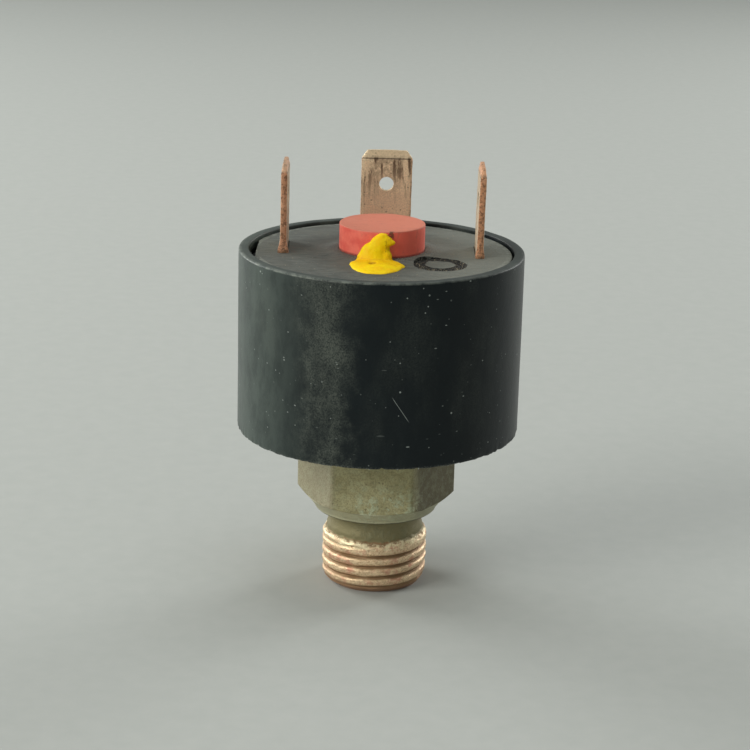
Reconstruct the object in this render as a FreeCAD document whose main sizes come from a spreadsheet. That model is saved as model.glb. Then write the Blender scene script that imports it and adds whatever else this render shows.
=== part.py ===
# A small diaphragm pressure switch with a G1/4 fitting, a changeover contact
# on three 6.3 mm tabs and a setting screw under a sealed cap.
# Units are millimetres.  Z runs up the axis from the thread's end at Z = 0.
import FreeCAD, Part
import math
import os
import re
import Sketcher

# ----------------------------------------------------------------- sizes
# Each size is set once here and can be changed by itself.
SIZES = {
    # case
    "case_dia": 34.4,
    "case_height": 22.2,
    "case_edge": 0.3,
    "wall": 2.4,
    "skirt_wall": 1.6,
    "rim_wall": 1.25,
    "rolled_lip": 0.6,
    "lip_reach": 0.8,
    # port fitting
    "thread_dia": 13.157,
    "thread_pitch": 1.337,
    "thread_depth": 0.856,
    "thread_length": 7.0,
    "thread_crest": 0.267,
    "thread_lead": 0.3,
    "neck_dia": 11.8,
    "neck_length": 2.6,
    "seat_dia": 15.0,
    "hex_flats": 17.0,
    "hex_height": 10.45,
    "hex_band": 1.5,
    "hex_bevel": 2.1,
    "hex_turn": -3.5,
    "port_bore": 4.0,
    "spigot_dia": 12.0,
    "stake_reach": 0.9,
    "stake_height": 0.35,
    # base plate, gasket and diaphragm
    "plate_thick": 1.0,
    "gasket_thick": 0.5,
    "gasket_width": 2.0,
    "bead_width": 2.3,
    "bead_height": 1.4,
    "web_thick": 0.7,
    "web_lift": 0.55,
    "ring_height": 1.6,
    "ring_width": 4.3,
    # plunger and range spring
    "plunger_gap": 1.6,
    "plunger_thick": 1.45,
    "plunger_travel": 0.5,
    "peg_dia": 1.6,
    "spring_dia": 9.8,
    "spring_wire": 1.0,
    "spring_turns": 6.0,
    "spring_length": 9.5,
    "centring_height": 1.6,
    # setting screw and spring seat
    "screw_dia": 5.0,
    "screw_pitch": 0.8,
    "screw_depth": 0.4,
    "screw_tail": 3.4,
    "seat_thick": 2.4,
    "seat_nose": 0.9,
    "seat_clear": 0.5,
    "ear_width": 2.3,
    "ear_thick": 1.6,
    "ear_reach": 9.2,
    "collar_dia": 9.2,
    "collar_thick": 1.2,
    "head_dia": 6.0,
    "head_rise": 2.2,
    "slot_width": 0.9,
    "slot_depth": 1.3,
    "clip_thick": 0.4,
    "clip_width": 1.4,
    "clip_groove": 0.6,
    "clip_opening": 70.0,
    # cover
    "cover_thick": 2.4,
    "cover_recess": 0.4,
    "boss_rise": 0.4,
    "tooth_reach": 0.55,
    "tooth_height": 0.6,
    "tooth_angle": 26.0,
    "notch_depth": 0.7,
    "mark_dia": 6.2,
    "mark_width": 0.8,
    "mark_depth": 0.2,
    "mark_across": 6.9,
    "mark_forward": 6.0,
    "arc_mark_angle": 17.0,
    "arc_mark_start": 288.0,
    "arc_mark_width": 0.25,
    # cap and tamper seal
    "cap_dia": 10.3,
    "cap_rise": 3.55,
    "cap_wall": 0.85,
    "cap_roof": 1.0,
    "cap_sunk": 1.0,
    "cap_edge": 0.25,
    "seal_skin": 0.8,
    "seal_left": 0.5,
    "puddle_front": 3.2,
    "puddle_half_width": 3.25,
    "puddle_half_depth": 3.4,
    "puddle_rise": 0.75,
    "mound_front": 1.2,
    "mound_half_width": 2.1,
    "mound_half_depth": 2.2,
    "mound_rise": 1.7,
    "climb_middle": 1.6,
    "climb_half_width": 1.25,
    "climb_half_depth": 0.6,
    "climb_half_height": 1.75,
    # tabs and contact arms
    "tab_width": 6.3,
    "tab_thick": 0.8,
    "tab_hole": 1.8,
    "tab_hole_drop": 4.25,
    "tab_corner_side": 0.7,
    "tab_corner_down": 1.05,
    "tab_bevel": 1.05,
    "tab_tip": 0.35,
    "com_rise": 10.35,
    "nc_rise": 10.65,
    "no_rise": 10.75,
    "com_inset": 2.5,
    "nc_inset": 1.7,
    "no_inset": 1.8,
    "com_shift": 0.35,
    "nc_shift": 1.3,
    "no_shift": 0.8,
    "shoulder_out": 0.65,
    "shoulder_height": 1.5,
    "leg_width": 3.0,
    "arm_width": 2.6,
    "arm_inset": 1.2,
    "contact_dia": 2.4,
    "contact_height": 0.5,
    "contact_shank": 1.2,
    "contact_margin": 0.15,
    # lever, pivot and return spring
    "lever_clear": 0.75,
    "lever_thick": 0.7,
    "lever_band": 2.6,
    "lever_nose": 3.2,
    "pivot_dia": 1.2,
    "knuckle_dia": 2.3,
    "pivot_inset": 1.8,
    "ear_margin": 1.3,
    "ear_front": 1.1,
    "pin_proud": 0.3,
    "return_dia": 2.85,
    "return_wire": 0.35,
    "return_turns": 7.0,
    "return_length": 5.2,
    # contact carrier
    "carrier_wall": 1.2,
    "shelf_thick": 0.5,
    "guide_width": 5.0,
    "guide_gap": 0.6,
    "guide_wall": 2.25,
    "lug_width": 4.4,
    "lug_thick": 2.0,
    "rest_height": 1.5,
    # clearances
    "slip": 0.05,
    "loose": 0.1,
    "free": 0.25,
}

# Places that follow from the sizes.  Radii end in _r, heights in _z.
PLACES = {
    "case_r": "case_dia / 2",
    "case_z": "thread_length + neck_length + hex_height",
    "case_top_z": "case_z + case_height",
    "lip_top_z": "case_z + rolled_lip",
    "skirt_r": "case_r - skirt_wall",
    "lip_r": "skirt_r - lip_reach",
    "bore_r": "case_r - wall",
    "rim_r": "case_r - rim_wall",
    # sealed lower end
    "plate_r": "skirt_r - loose",
    "plate_z": "lip_top_z",
    "plate_top_z": "plate_z + plate_thick",
    "seat_z": "thread_length + neck_length",
    "hex_top_z": "plate_z - gasket_thick",
    "spigot_r": "spigot_dia / 2",
    "bead_r": "skirt_r - free",
    "bead_in_r": "bead_r - bead_width",
    "bead_top_z": "plate_top_z + bead_height",
    "web_z": "plate_top_z + web_lift",
    "web_top_z": "web_z + web_thick",
    "ring_r": "skirt_r - loose",
    "ring_in_r": "ring_r - ring_width",
    "ring_top_z": "bead_top_z + ring_height",
    # plunger
    "plunger_r": "ring_in_r - plunger_gap",
    "plunger_z": "web_top_z + slip",
    "plunger_top_z": "plunger_z + plunger_thick",
    "spring_in_r": "spring_dia / 2 - spring_wire",
    "lever_in_r": "spring_dia / 2 + lever_clear",
    "lever_out_r": "lever_in_r + lever_band",
    "peg_x": "(lever_in_r + lever_out_r) / 2",
    "peg_top_z": "lever_z - slip",
    # contacts, from the shelf upward
    "carrier_r": "bore_r - loose",
    "carrier_in_r": "carrier_r - carrier_wall",
    "arm_out_r": "carrier_in_r - arm_inset",
    "arm_in_r": "arm_out_r - arm_width",
    "contact_r": "(arm_in_r + arm_out_r) / 2",
    "nc_arm_z": "ring_top_z + shelf_thick + slip",
    "nc_face_z": "nc_arm_z + tab_thick + contact_height",
    "lever_z": "nc_face_z + slip + contact_height",
    "lever_top_z": "lever_z + lever_thick",
    "pivot_y": "carrier_in_r - com_inset - pivot_inset",
    "pivot_z": "lever_z + lever_thick / 2",
    "contact_lift": "plunger_travel * (pivot_y + contact_r + contact_dia / 2) / pivot_y",
    "no_face_z": "lever_top_z + contact_height + contact_lift + contact_margin",
    "no_arm_z": "no_face_z + contact_height",
    "no_arm_top_z": "no_arm_z + tab_thick",
    # setting screw, from the cover downward
    "cover_r": "rim_r - free",
    "cover_top_z": "case_top_z - cover_recess",
    "cover_z": "cover_top_z - cover_thick",
    "collar_top_z": "cover_z - slip",
    "collar_z": "collar_top_z - collar_thick",
    "head_top_z": "cover_top_z + head_rise",
    "boss_top_z": "cover_top_z + boss_rise",
    "well_z": "cover_top_z - cap_sunk",
    "clip_z": "well_z + loose",
    "shank_r": "screw_dia / 2",
    "head_r": "head_dia / 2",
    # spring and seat
    "spring_z": "plunger_top_z",
    "seat_low_z": "spring_z + spring_length",
    "seat_r": "lever_in_r - seat_clear",
    "nose_z": "seat_low_z - seat_nose",
    "nose_r": "spring_in_r - seat_clear",
    "seat_high_z": "seat_low_z + seat_thick",
    "ear_z": "seat_low_z + (seat_thick - ear_thick) / 2",
    "shank_z": "seat_low_z - screw_tail",
    # tabs
    "com_y": "carrier_in_r - com_inset",
    "nc_x": "carrier_in_r - nc_inset",
    "no_x": "carrier_in_r - no_inset",
    "shoulder_z": "cover_z - slip - shoulder_height",
    # cap
    "cap_r": "cap_dia / 2",
    "cap_z": "well_z + slip",
    "cap_top_z": "cover_top_z + cap_rise",
    "cap_in_r": "cap_r - cap_wall",
    "well_r": "cap_r + slip",
    "seal_r": "cap_r + seal_skin",
    # carrier
    "guide_z": "no_arm_top_z + guide_gap",
    "guide_r": "seat_r + guide_wall",
    "lug_z": "lever_top_z + return_length",
    "return_y": "peg_x + loose",
    "rest_z": "shoulder_z - slip - rest_height",
}

doc = FreeCAD.newDocument("PressureSwitch")
sheet = doc.addObject("Spreadsheet::Sheet", "Sizes")
for row, (word, number) in enumerate(SIZES.items(), start=1):
    sheet.set("A%d" % row, word)
    sheet.set("B%d" % row, str(number))
    sheet.setAlias("B%d" % row, word)
doc.recompute()


def formula(text):
    """Spell out a rule in sizes and places as an expression on the sheet."""

    def spell(match):
        word = match.group()
        if word in PLACES:
            return "(" + formula(PLACES[word]) + ")"
        if word in SIZES:
            return "Sizes." + word
        return word

    return re.sub(r"[a-z][a-z_0-9]*", spell, text)


def value(text):
    """The number that a rule gives with the sizes as they are."""
    answer = sheet.evalExpression(formula(text))
    return float(getattr(answer, "Value", answer))


# ------------------------------------------------------- modelling helpers
def bind(thing, **rules):
    for name, rule in rules.items():
        thing.setExpression(name, formula(rule))
    return thing


def place(thing, x="0", y="0", z="0", turn=0.0, about=(0, 0, 1)):
    """Put a primitive at rules x, y, z, turned about its own origin."""
    thing.Placement.Rotation = FreeCAD.Rotation(FreeCAD.Vector(*about), turn)
    for axis, rule in (("x", x), ("y", y), ("z", z)):
        thing.setExpression("Placement.Base." + axis, formula(rule))
    return thing


def cylinder(radius, low, high, x="0", y="0"):
    rod = doc.addObject("Part::Cylinder", "Cylinder")
    bind(rod, Radius=radius, Height="%s - (%s)" % (high, low))
    return place(rod, x, y, low)


def rod_along_x(radius, start, length, y, z):
    rod = doc.addObject("Part::Cylinder", "CrossRod")
    bind(rod, Radius=radius, Height=length)
    return place(rod, start, y, z, 90, (0, 1, 0))


def rod_along_y(radius, x, start, length, z):
    rod = doc.addObject("Part::Cylinder", "LongRod")
    bind(rod, Radius=radius, Height=length)
    return place(rod, x, start, z, -90, (1, 0, 0))


def box(x, y, z, wide, deep, tall):
    """A box centred on x and y, standing on z."""
    block = doc.addObject("Part::Box", "Box")
    bind(block, Length=wide, Width=deep, Height=tall)
    return place(block, "%s - (%s) / 2" % (x, wide), "%s - (%s) / 2" % (y, deep), z)


def spoke(start, end, wide, low, high, angle):
    """A bar along a spoke of the axis, from one radius to another."""
    cosine = "%.9f" % math.cos(math.radians(angle))
    sine = "%.9f" % math.sin(math.radians(angle))
    bar = doc.addObject("Part::Box", "Spoke")
    bind(bar, Length="%s - (%s)" % (end, start), Width=wide, Height="%s - (%s)" % (high, low))
    x = "(%s) * %s + (%s) / 2 * %s" % (start, cosine, wide, sine)
    y = "(%s) * %s - (%s) / 2 * %s" % (start, sine, wide, cosine)
    return place(bar, x, y, low, angle)


def sector(inner, outer, low, high, start, sweep):
    """Part of a flat ring, from angle start on through angle sweep."""
    pieces = []
    for radius in (outer, inner):
        pie = doc.addObject("Part::Cylinder", "Sector")
        bind(pie, Radius=radius, Height="%s - (%s)" % (high, low), Angle=sweep)
        pieces.append(place(pie, z=low, turn=value(start)))
    return cut(pieces[0], pieces[1])


def ball(x, y, z, long, wide, tall):
    """An ellipsoid with half-axes long, wide and tall."""
    egg = doc.addObject("Part::Ellipsoid", "Ellipsoid")
    bind(egg, Radius1=tall, Radius2=long, Radius3=wide)
    return place(egg, x, y, z)


def cut(base, *tools):
    for tool in tools:
        result = doc.addObject("Part::Cut", "Cut")
        result.Base = base
        result.Tool = tool
        base = result
    return base


def fuse(*pieces):
    result = doc.addObject("Part::MultiFuse", "Fuse")
    result.Shapes = list(pieces)
    result.Refine = True
    return result


def common(base, tool):
    result = doc.addObject("Part::Common", "Common")
    result.Base = base
    result.Tool = tool
    return result


def turned(name, outline):
    """A PartDesign body turned about Z from an outline of radius, height."""
    body = doc.addObject("PartDesign::Body", name)
    plane = [item for item in body.Origin.OriginFeatures if item.Role == "XZ_Plane"][0]
    sketch = body.newObject("Sketcher::SketchObject", name + "Outline")
    sketch.AttachmentSupport = (plane, "")
    sketch.MapMode = "FlatFace"
    corners = [FreeCAD.Vector(value(across), value(up), 0) for across, up in outline]
    count = len(corners)
    for index in range(count):
        line = Part.LineSegment(corners[index], corners[(index + 1) % count])
        sketch.addGeometry(line, False)
    for index in range(count):
        join = Sketcher.Constraint("Coincident", index, 2, (index + 1) % count, 1)
        sketch.addConstraint(join)
    for index, rules in enumerate(outline):
        for kind, rule, axis in zip(("DistanceX", "DistanceY"), rules, (-2, -1)):
            if value(rule) == 0:
                sketch.addConstraint(Sketcher.Constraint("PointOnObject", index, 1, axis))
                continue
            limit = Sketcher.Constraint(kind, -1, 1, index, 1, value(rule))
            number = sketch.addConstraint(limit)
            sketch.setExpression("Constraints[%d]" % number, formula(rule))
    turn = body.newObject("PartDesign::Revolution", name + "Turned")
    turn.Profile = sketch
    turn.ReferenceAxis = (sketch, ["V_Axis"])
    turn.Angle = 360
    return body


def helix_spring(name, coil, wire, turns, low, length, x="0", y="0"):
    """A round-wire compression spring standing on low, its helix run as arcs."""
    wire_r = value(wire) / 2
    coil_r = value(coil) / 2 - wire_r
    rise = value(length) - 2 * wire_r
    arcs_a_turn = 8
    count = round(value(turns) * arcs_a_turn)

    def on_helix(step):
        angle = 2 * math.pi * step / arcs_a_turn
        across = coil_r * math.cos(angle)
        return FreeCAD.Vector(across, coil_r * math.sin(angle), rise * step / count)

    arcs = []
    for step in range(count):
        bend = Part.Arc(on_helix(step), on_helix(step + 0.5), on_helix(step + 1))
        arcs.append(bend.toShape())
    slope = FreeCAD.Vector(0, 2 * math.pi * coil_r, rise / value(turns))
    ring = Part.Wire([Part.makeCircle(wire_r, on_helix(0), slope)])
    spring = doc.addObject("Part::Feature", name)
    spring.Shape = Part.Wire(arcs).makePipeShell([ring], True, True)
    spring.Placement.Base = FreeCAD.Vector(value(x), value(y), value(low) + wire_r)
    return spring


NODES = []


def node(name, thing):
    """Name a finished sub-part: its label names its file."""
    thing.Label = name
    NODES.append(thing)
    return thing


# ------------------------------------------------------------ case and end
def housing_shell():
    """The moulded case: a tube with a rolled lip below and a rim above."""
    groove_z = "cover_z + cover_thick / 2 - tooth_height / 2 - loose"
    groove_top_z = "cover_z + cover_thick / 2 + tooth_height / 2 + loose"
    groove_r = "cover_r + tooth_reach + loose"
    return turned("Case", [
        ("lip_r", "case_z"),
        ("case_r - case_edge", "case_z"),
        ("case_r", "case_z + case_edge"),
        ("case_r", "case_top_z - case_edge"),
        ("case_r - case_edge", "case_top_z"),
        ("rim_r", "case_top_z"),
        ("rim_r", groove_top_z),
        (groove_r, groove_top_z),
        (groove_r, groove_z),
        ("rim_r", groove_z),
        ("rim_r", "cover_z"),
        ("bore_r", "cover_z"),
        ("bore_r", "ring_top_z"),
        ("skirt_r", "ring_top_z"),
        ("skirt_r", "lip_top_z"),
        ("lip_r", "lip_top_z"),
    ])


def thread_outline():
    """Points of the external thread, from its end up to the neck."""
    crest_r = "thread_dia / 2"
    root_r = "thread_dia / 2 - thread_depth"
    flank = "thread_depth * %.6f" % math.tan(math.radians(27.5))
    points = [
        (root_r, "0"),
        (root_r, "thread_lead"),
    ]
    ridge = flank + " + thread_crest"
    step = "thread_pitch"
    count = int((value("thread_length") - value("thread_lead")) / value(step))
    for turn in range(count):
        low = "thread_lead + %d * %s" % (turn, step)
        points.append((root_r, low))
        points.append((crest_r, "%s + %s" % (low, flank)))
        points.append((crest_r, "%s + %s" % (low, ridge)))
        points.append((root_r, "%s + %s + %s" % (low, ridge, flank)))
    return points[:1] + points[2:]


def port_fitting():
    """The brass fitting: thread, neck, hexagon and a spigot staked above."""
    bore_r = "port_bore / 2"
    stem = turned("Stem", [(bore_r, "0")] + thread_outline() + [
        ("thread_dia / 2 - thread_depth", "thread_length"),
        ("neck_dia / 2", "thread_length"),
        ("neck_dia / 2", "seat_z"),
        ("spigot_r", "seat_z"),
        ("spigot_r", "plate_top_z"),
        ("spigot_r + stake_reach", "plate_top_z"),
        ("spigot_r + stake_reach / 2", "plate_top_z + stake_height"),
        (bore_r, "plate_top_z + stake_height"),
    ])
    corner = "hex_flats / 2 / %.6f" % math.cos(math.radians(30))
    nut = doc.addObject("Part::Prism", "Hexagon")
    nut.Polygon = 6
    bind(nut, Circumradius=corner, Height="hex_top_z - seat_z")
    place(nut, z="seat_z", turn=value("hex_turn"))
    bevel = turned("Bevel", [
        ("0", "seat_z"),
        ("seat_dia / 2", "seat_z"),
        ("hex_flats / 2", "seat_z + hex_band"),
        (corner, "seat_z + hex_bevel"),
        (corner, "hex_top_z - case_edge"),
        ("%s - case_edge * 2" % corner, "hex_top_z"),
        ("0", "hex_top_z"),
    ])
    hexagon = cut(common(nut, bevel), cylinder(bore_r, "seat_z - 1", "hex_top_z + 1"))
    return fuse(stem, hexagon)


def fitting_gasket():
    """A flat washer between the hexagon and the plate."""
    inner = "spigot_r + slip"
    return turned("Gasket", [
        (inner, "hex_top_z"),
        (inner + " + gasket_width", "hex_top_z"),
        (inner + " + gasket_width", "plate_z"),
        (inner, "plate_z"),
    ])


def base_plate():
    """The pressed plate that closes the case and carries the fitting."""
    inner = "spigot_r + slip"
    return turned("Plate", [
        (inner, "plate_z"),
        ("plate_r", "plate_z"),
        ("plate_r", "plate_top_z"),
        (inner, "plate_top_z"),
    ])


def diaphragm():
    """The rubber diaphragm: a thin web inside a thick clamped bead."""
    return turned("Diaphragm", [
        ("0", "web_z"),
        ("bead_in_r", "web_z"),
        ("bead_in_r", "plate_top_z"),
        ("bead_r", "plate_top_z"),
        ("bead_r", "bead_top_z"),
        ("bead_in_r", "bead_top_z"),
        ("bead_in_r", "web_top_z"),
        ("0", "web_top_z"),
    ])


def clamp_ring():
    """The steel ring that presses the bead against the plate."""
    return turned("ClampRing", [
        ("ring_in_r", "bead_top_z"),
        ("ring_r", "bead_top_z"),
        ("ring_r", "ring_top_z"),
        ("ring_in_r", "ring_top_z"),
    ])


# ------------------------------------------- plunger, spring and adjustment
def thrust_plate():
    """The plunger: a plate on the diaphragm, a centring nose and two pegs."""
    plate = turned("Plunger", [
        ("0", "plunger_z"),
        ("plunger_r - loose", "plunger_z"),
        ("plunger_r", "plunger_z + loose"),
        ("plunger_r", "plunger_top_z"),
        ("nose_r", "plunger_top_z"),
        ("nose_r", "plunger_top_z + centring_height - free"),
        ("nose_r - free", "plunger_top_z + centring_height"),
        ("0", "plunger_top_z + centring_height"),
    ])
    pegs = []
    for side in ("peg_x", "-(peg_x)"):
        pegs.append(cylinder("peg_dia / 2", "plunger_top_z - loose", "peg_top_z", side))
    return fuse(plate, *pegs)


def range_spring():
    return helix_spring(
        "RangeSpring", "spring_dia", "spring_wire", "spring_turns",
        "spring_z + slip", "spring_length - 2 * slip")


def spring_seat():
    """The travelling nut over the spring, kept from turning by two ears."""
    hole_r = "shank_r + slip"
    nut = turned("SpringSeat", [
        (hole_r, "nose_z"),
        ("nose_r", "nose_z"),
        ("nose_r", "seat_low_z"),
        ("seat_r", "seat_low_z"),
        ("seat_r", "seat_high_z"),
        (hole_r, "seat_high_z"),
    ])
    bar = spoke("-ear_reach", "ear_reach", "ear_width", "ear_z", "ear_z + ear_thick", 315)
    middle = cylinder("seat_r - loose", "ear_z - 1", "ear_z + ear_thick + 1")
    return fuse(nut, cut(bar, middle))


def adjusting_screw():
    """The setting screw: threaded shank, collar, and a slotted, grooved head."""
    thread_r = "shank_r - screw_depth"
    outline = [("0", "shank_z"), (thread_r, "shank_z")]
    count = int((value("collar_z") - value("shank_z")) / value("screw_pitch")) - 1
    for turn in range(count):
        low = "shank_z + screw_pitch * %d" % turn
        outline.append((thread_r, low + " + screw_pitch * 0.1"))
        outline.append(("shank_r", low + " + screw_pitch * 0.5"))
        outline.append(("shank_r", low + " + screw_pitch * 0.6"))
        outline.append((thread_r, low + " + screw_pitch"))
    groove_r = "head_r - clip_groove"
    outline += [
        (thread_r, "collar_z"),
        ("collar_dia / 2", "collar_z"),
        ("collar_dia / 2", "collar_top_z"),
        ("head_r", "collar_top_z"),
        ("head_r", "clip_z - slip"),
        (groove_r, "clip_z - slip"),
        (groove_r, "clip_z + clip_thick + slip"),
        ("head_r", "clip_z + clip_thick + slip"),
        ("head_r", "head_top_z - free"),
        ("head_r - free", "head_top_z"),
        ("0", "head_top_z"),
    ]
    slot = box("0", "0", "head_top_z - slot_depth", "head_dia + 1", "slot_width", "slot_depth + 1")
    return cut(turned("Screw", outline), slot)


def screw_clip():
    """The open ring in the groove of the screw's head."""
    return sector(
        "head_r - clip_groove + slip", "head_r - clip_groove + slip + clip_width",
        "clip_z", "clip_z + clip_thick", "clip_opening / 2", "360 - clip_opening")


# ------------------------------------------------------------------- cover
def cover_plate():
    """The cover: a disc with three slots, a raised cap well and snap teeth."""
    hole_r = "head_r + slip"
    disc = turned("Cover", [
        (hole_r, "cover_z"),
        ("cover_r", "cover_z"),
        ("cover_r", "cover_top_z"),
        ("seal_r", "cover_top_z"),
        ("seal_r", "boss_top_z"),
        ("well_r", "boss_top_z"),
        ("well_r", "well_z"),
        (hole_r, "well_z"),
    ])
    low = "cover_z + cover_thick / 2 - tooth_height / 2"
    teeth = []
    for start in (90, 210, 330):
        begin = "%d - tooth_angle / 2" % start
        teeth.append(sector(
            "cover_r - loose", "cover_r + tooth_reach", low, low + " + tooth_height",
            begin, "tooth_angle"))
    slots = []
    for x, y, wide, deep in tab_places():
        slots.append(box(
            x, y, "cover_z - 1", wide + " + 2 * loose", deep + " + 2 * loose", "cover_thick + 2"))
    notch = box(
        "-(cover_r)", "0", "cover_z + cover_thick / 2",
        "2 * notch_depth", "cover_r / 2", "cover_thick")
    top = "cover_top_z - mark_depth"
    ring = cut(
        cylinder("mark_dia / 2", top, "cover_top_z + 1", "mark_across", "-mark_forward"),
        cylinder("mark_dia / 2 - mark_width", top, "cover_top_z + 1", "mark_across", "-mark_forward"))
    line = sector(
        "cover_r - arc_mark_width * 4", "cover_r - arc_mark_width * 3",
        top, "cover_top_z + 1", "arc_mark_start", "arc_mark_angle")
    return cut(fuse(disc, *teeth), *slots, notch, ring, line)


def adjuster_cap():
    """The cap over the screw's head, pushed into the well of the cover."""
    return turned("Cap", [
        ("cap_in_r", "cap_z"),
        ("cap_r", "cap_z"),
        ("cap_r", "cap_top_z - cap_edge"),
        ("cap_r - cap_edge", "cap_top_z"),
        ("0", "cap_top_z"),
        ("0", "cap_top_z - cap_roof"),
        ("cap_in_r", "cap_top_z - cap_roof"),
    ])


def seal_blob():
    """The whole drop of lacquer before the cap breaks it in two."""
    middle = "-(seal_left)"
    puddle = ball(
        middle, "-(cap_r + puddle_front)", "cover_top_z",
        "puddle_half_width", "puddle_half_depth", "puddle_rise")
    foot = ball(
        middle, "-(cap_r + mound_front)", "cover_top_z",
        "mound_half_width", "mound_half_depth", "mound_rise")
    climb = ball(
        "0", "-(cap_r)", "cover_top_z + climb_middle",
        "climb_half_width", "climb_half_depth", "climb_half_height")
    blob = fuse(puddle, foot, climb)
    above = cylinder("case_r", "cover_top_z + slip", "cap_top_z")
    return common(blob, above)


def seal_on_cover():
    return cut(seal_blob(), cylinder("seal_r + slip", "cover_top_z - 1", "cap_top_z + 1"))


def seal_on_cap():
    sleeve = common(seal_blob(), cylinder("seal_r", "boss_top_z + slip", "cap_top_z + 1"))
    return cut(sleeve, cylinder("cap_r", "cover_top_z - 1", "cap_top_z + 1"))


# --------------------------------------------------------------- terminals
def tab_places():
    """Centre and plan size of each tab: common, normally closed, open."""
    return [
        ("com_shift", "com_y", "tab_width", "tab_thick"),
        ("-(nc_x)", "nc_shift", "tab_thick", "tab_width"),
        ("no_x", "no_shift", "tab_thick", "tab_width"),
    ]


def blade_tip(x, y, top, broad_along_x):
    """What the press takes off a tab: corners, lead-in bevels and the hole."""
    tools = []
    corner_angle = math.degrees(math.atan2(value("tab_corner_side"), value("tab_corner_down")))
    bevel_side = "(tab_thick - tab_tip) / 2"
    bevel_angle = math.degrees(math.atan2(value(bevel_side), value("tab_bevel")))
    for side in (-1, 1):
        corner = wedge("tab_corner_down", "tab_width / 2", corner_angle)
        bevel = wedge("tab_bevel", "tab_thick / 2", bevel_angle)
        turn = 0 if broad_along_x else 90
        tools.append(stand(corner, x, y, top, turn + (180 if side < 0 else 0)))
        tools.append(stand(bevel, x, y, top, turn + 90 + (180 if side < 0 else 0)))
    if broad_along_x:
        hole = rod_along_y("tab_hole / 2", x, y + " - 5", "10", top + " - tab_hole_drop")
    else:
        hole = rod_along_x("tab_hole / 2", x + " - 5", "10", y, top + " - tab_hole_drop")
    return tools + [hole]


CUTTER_REACH = 4
CUTTER_HALF = 10


def wedge(down, half, angle):
    """A cutter for one sloping edge, tilted about the lower end of the slope."""
    block = doc.addObject("Part::Box", "Cutter")
    block.Length = CUTTER_REACH
    block.Width = 2 * CUTTER_HALF
    block.Height = 2 * CUTTER_REACH
    slope = FreeCAD.Rotation(FreeCAD.Vector(0, 1, 0), -angle)
    corner = FreeCAD.Vector(value(half), 0, -value(down))
    block.Placement = FreeCAD.Placement(corner, slope)
    block.Placement.Base += slope.multVec(FreeCAD.Vector(0, -CUTTER_HALF, -1))
    return block


def stand(cutter, x, y, top, turn):
    """Carry a cutter to a tab's tip and turn it to face one side."""
    spin = FreeCAD.Rotation(FreeCAD.Vector(0, 0, 1), turn)
    home = FreeCAD.Vector(value(x), value(y), value(top))
    cutter.Placement = FreeCAD.Placement(home, spin).multiply(cutter.Placement)
    return cutter


def terminal_com():
    """The common terminal: a tab with two ears that hold the lever's pin."""
    top = "cover_top_z + com_rise"
    foot = "pivot_z - ear_margin"
    strip = box("com_shift", "com_y", foot, "tab_width", "tab_thick", "%s - (%s)" % (top, foot))
    shoulder = box(
        "com_shift", "com_y", "shoulder_z", "tab_width + 2 * shoulder_out", "tab_thick",
        "shoulder_height")
    ears = []
    front = "pivot_y - ear_front"
    deep = "com_y + tab_thick / 2 - (%s)" % front
    middle = "(com_y + tab_thick / 2 + %s) / 2" % front
    for side in ("-", "+"):
        x = "com_shift %s (tab_width - tab_thick) / 2" % side
        ears.append(box(x, middle, foot, "tab_thick", deep, "2 * ear_margin"))
    hole = rod_along_x("pivot_dia / 2 + slip", "-10", "20", "pivot_y", "pivot_z")
    blade = fuse(strip, shoulder, *ears)
    return cut(blade, hole, *blade_tip("com_shift", "com_y", top, True))


def side_terminal(x, y, rise, arm_z, start, sweep):
    """A side tab with a leg and a flat arm that runs to the front."""
    top = "cover_top_z + " + rise
    tab = box(x, y, "shoulder_z", "tab_thick", "tab_width", "%s - (shoulder_z)" % top)
    shoulder = box(
        x, y, "shoulder_z", "tab_thick", "tab_width + 2 * shoulder_out", "shoulder_height")
    leg = box(x, y, arm_z, "tab_thick", "leg_width", "shoulder_z + 0.5 - (%s)" % arm_z)
    arm = sector("arm_in_r", "arm_out_r", arm_z, arm_z + " + tab_thick", start, sweep)
    end = cylinder("arm_width / 2", arm_z, arm_z + " + tab_thick", "0", "-(contact_r)")
    rivet_hole = cylinder(
        "contact_shank / 2", arm_z + " - 1", arm_z + " + tab_thick + 1", "0", "-(contact_r)")
    blade = fuse(tab, shoulder, leg, arm, end)
    return cut(blade, rivet_hole, *blade_tip(x, y, top, False))


def terminal_nc():
    return side_terminal("-(nc_x)", "nc_shift", "nc_rise", "nc_arm_z", "165", "105")


def terminal_no():
    return side_terminal("no_x", "no_shift", "no_rise", "no_arm_z", "270", "102")


def fixed_contact(arm_z, upward):
    """A silver rivet: shank in the arm and a head on its working side."""
    shank = cylinder("contact_shank / 2", arm_z, arm_z + " + tab_thick", "0", "-(contact_r)")
    head_z = arm_z + " + tab_thick" if upward else arm_z + " - contact_height"
    head = cylinder("contact_dia / 2", head_z, head_z + " + contact_height", "0", "-(contact_r)")
    return fuse(shank, head)


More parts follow.
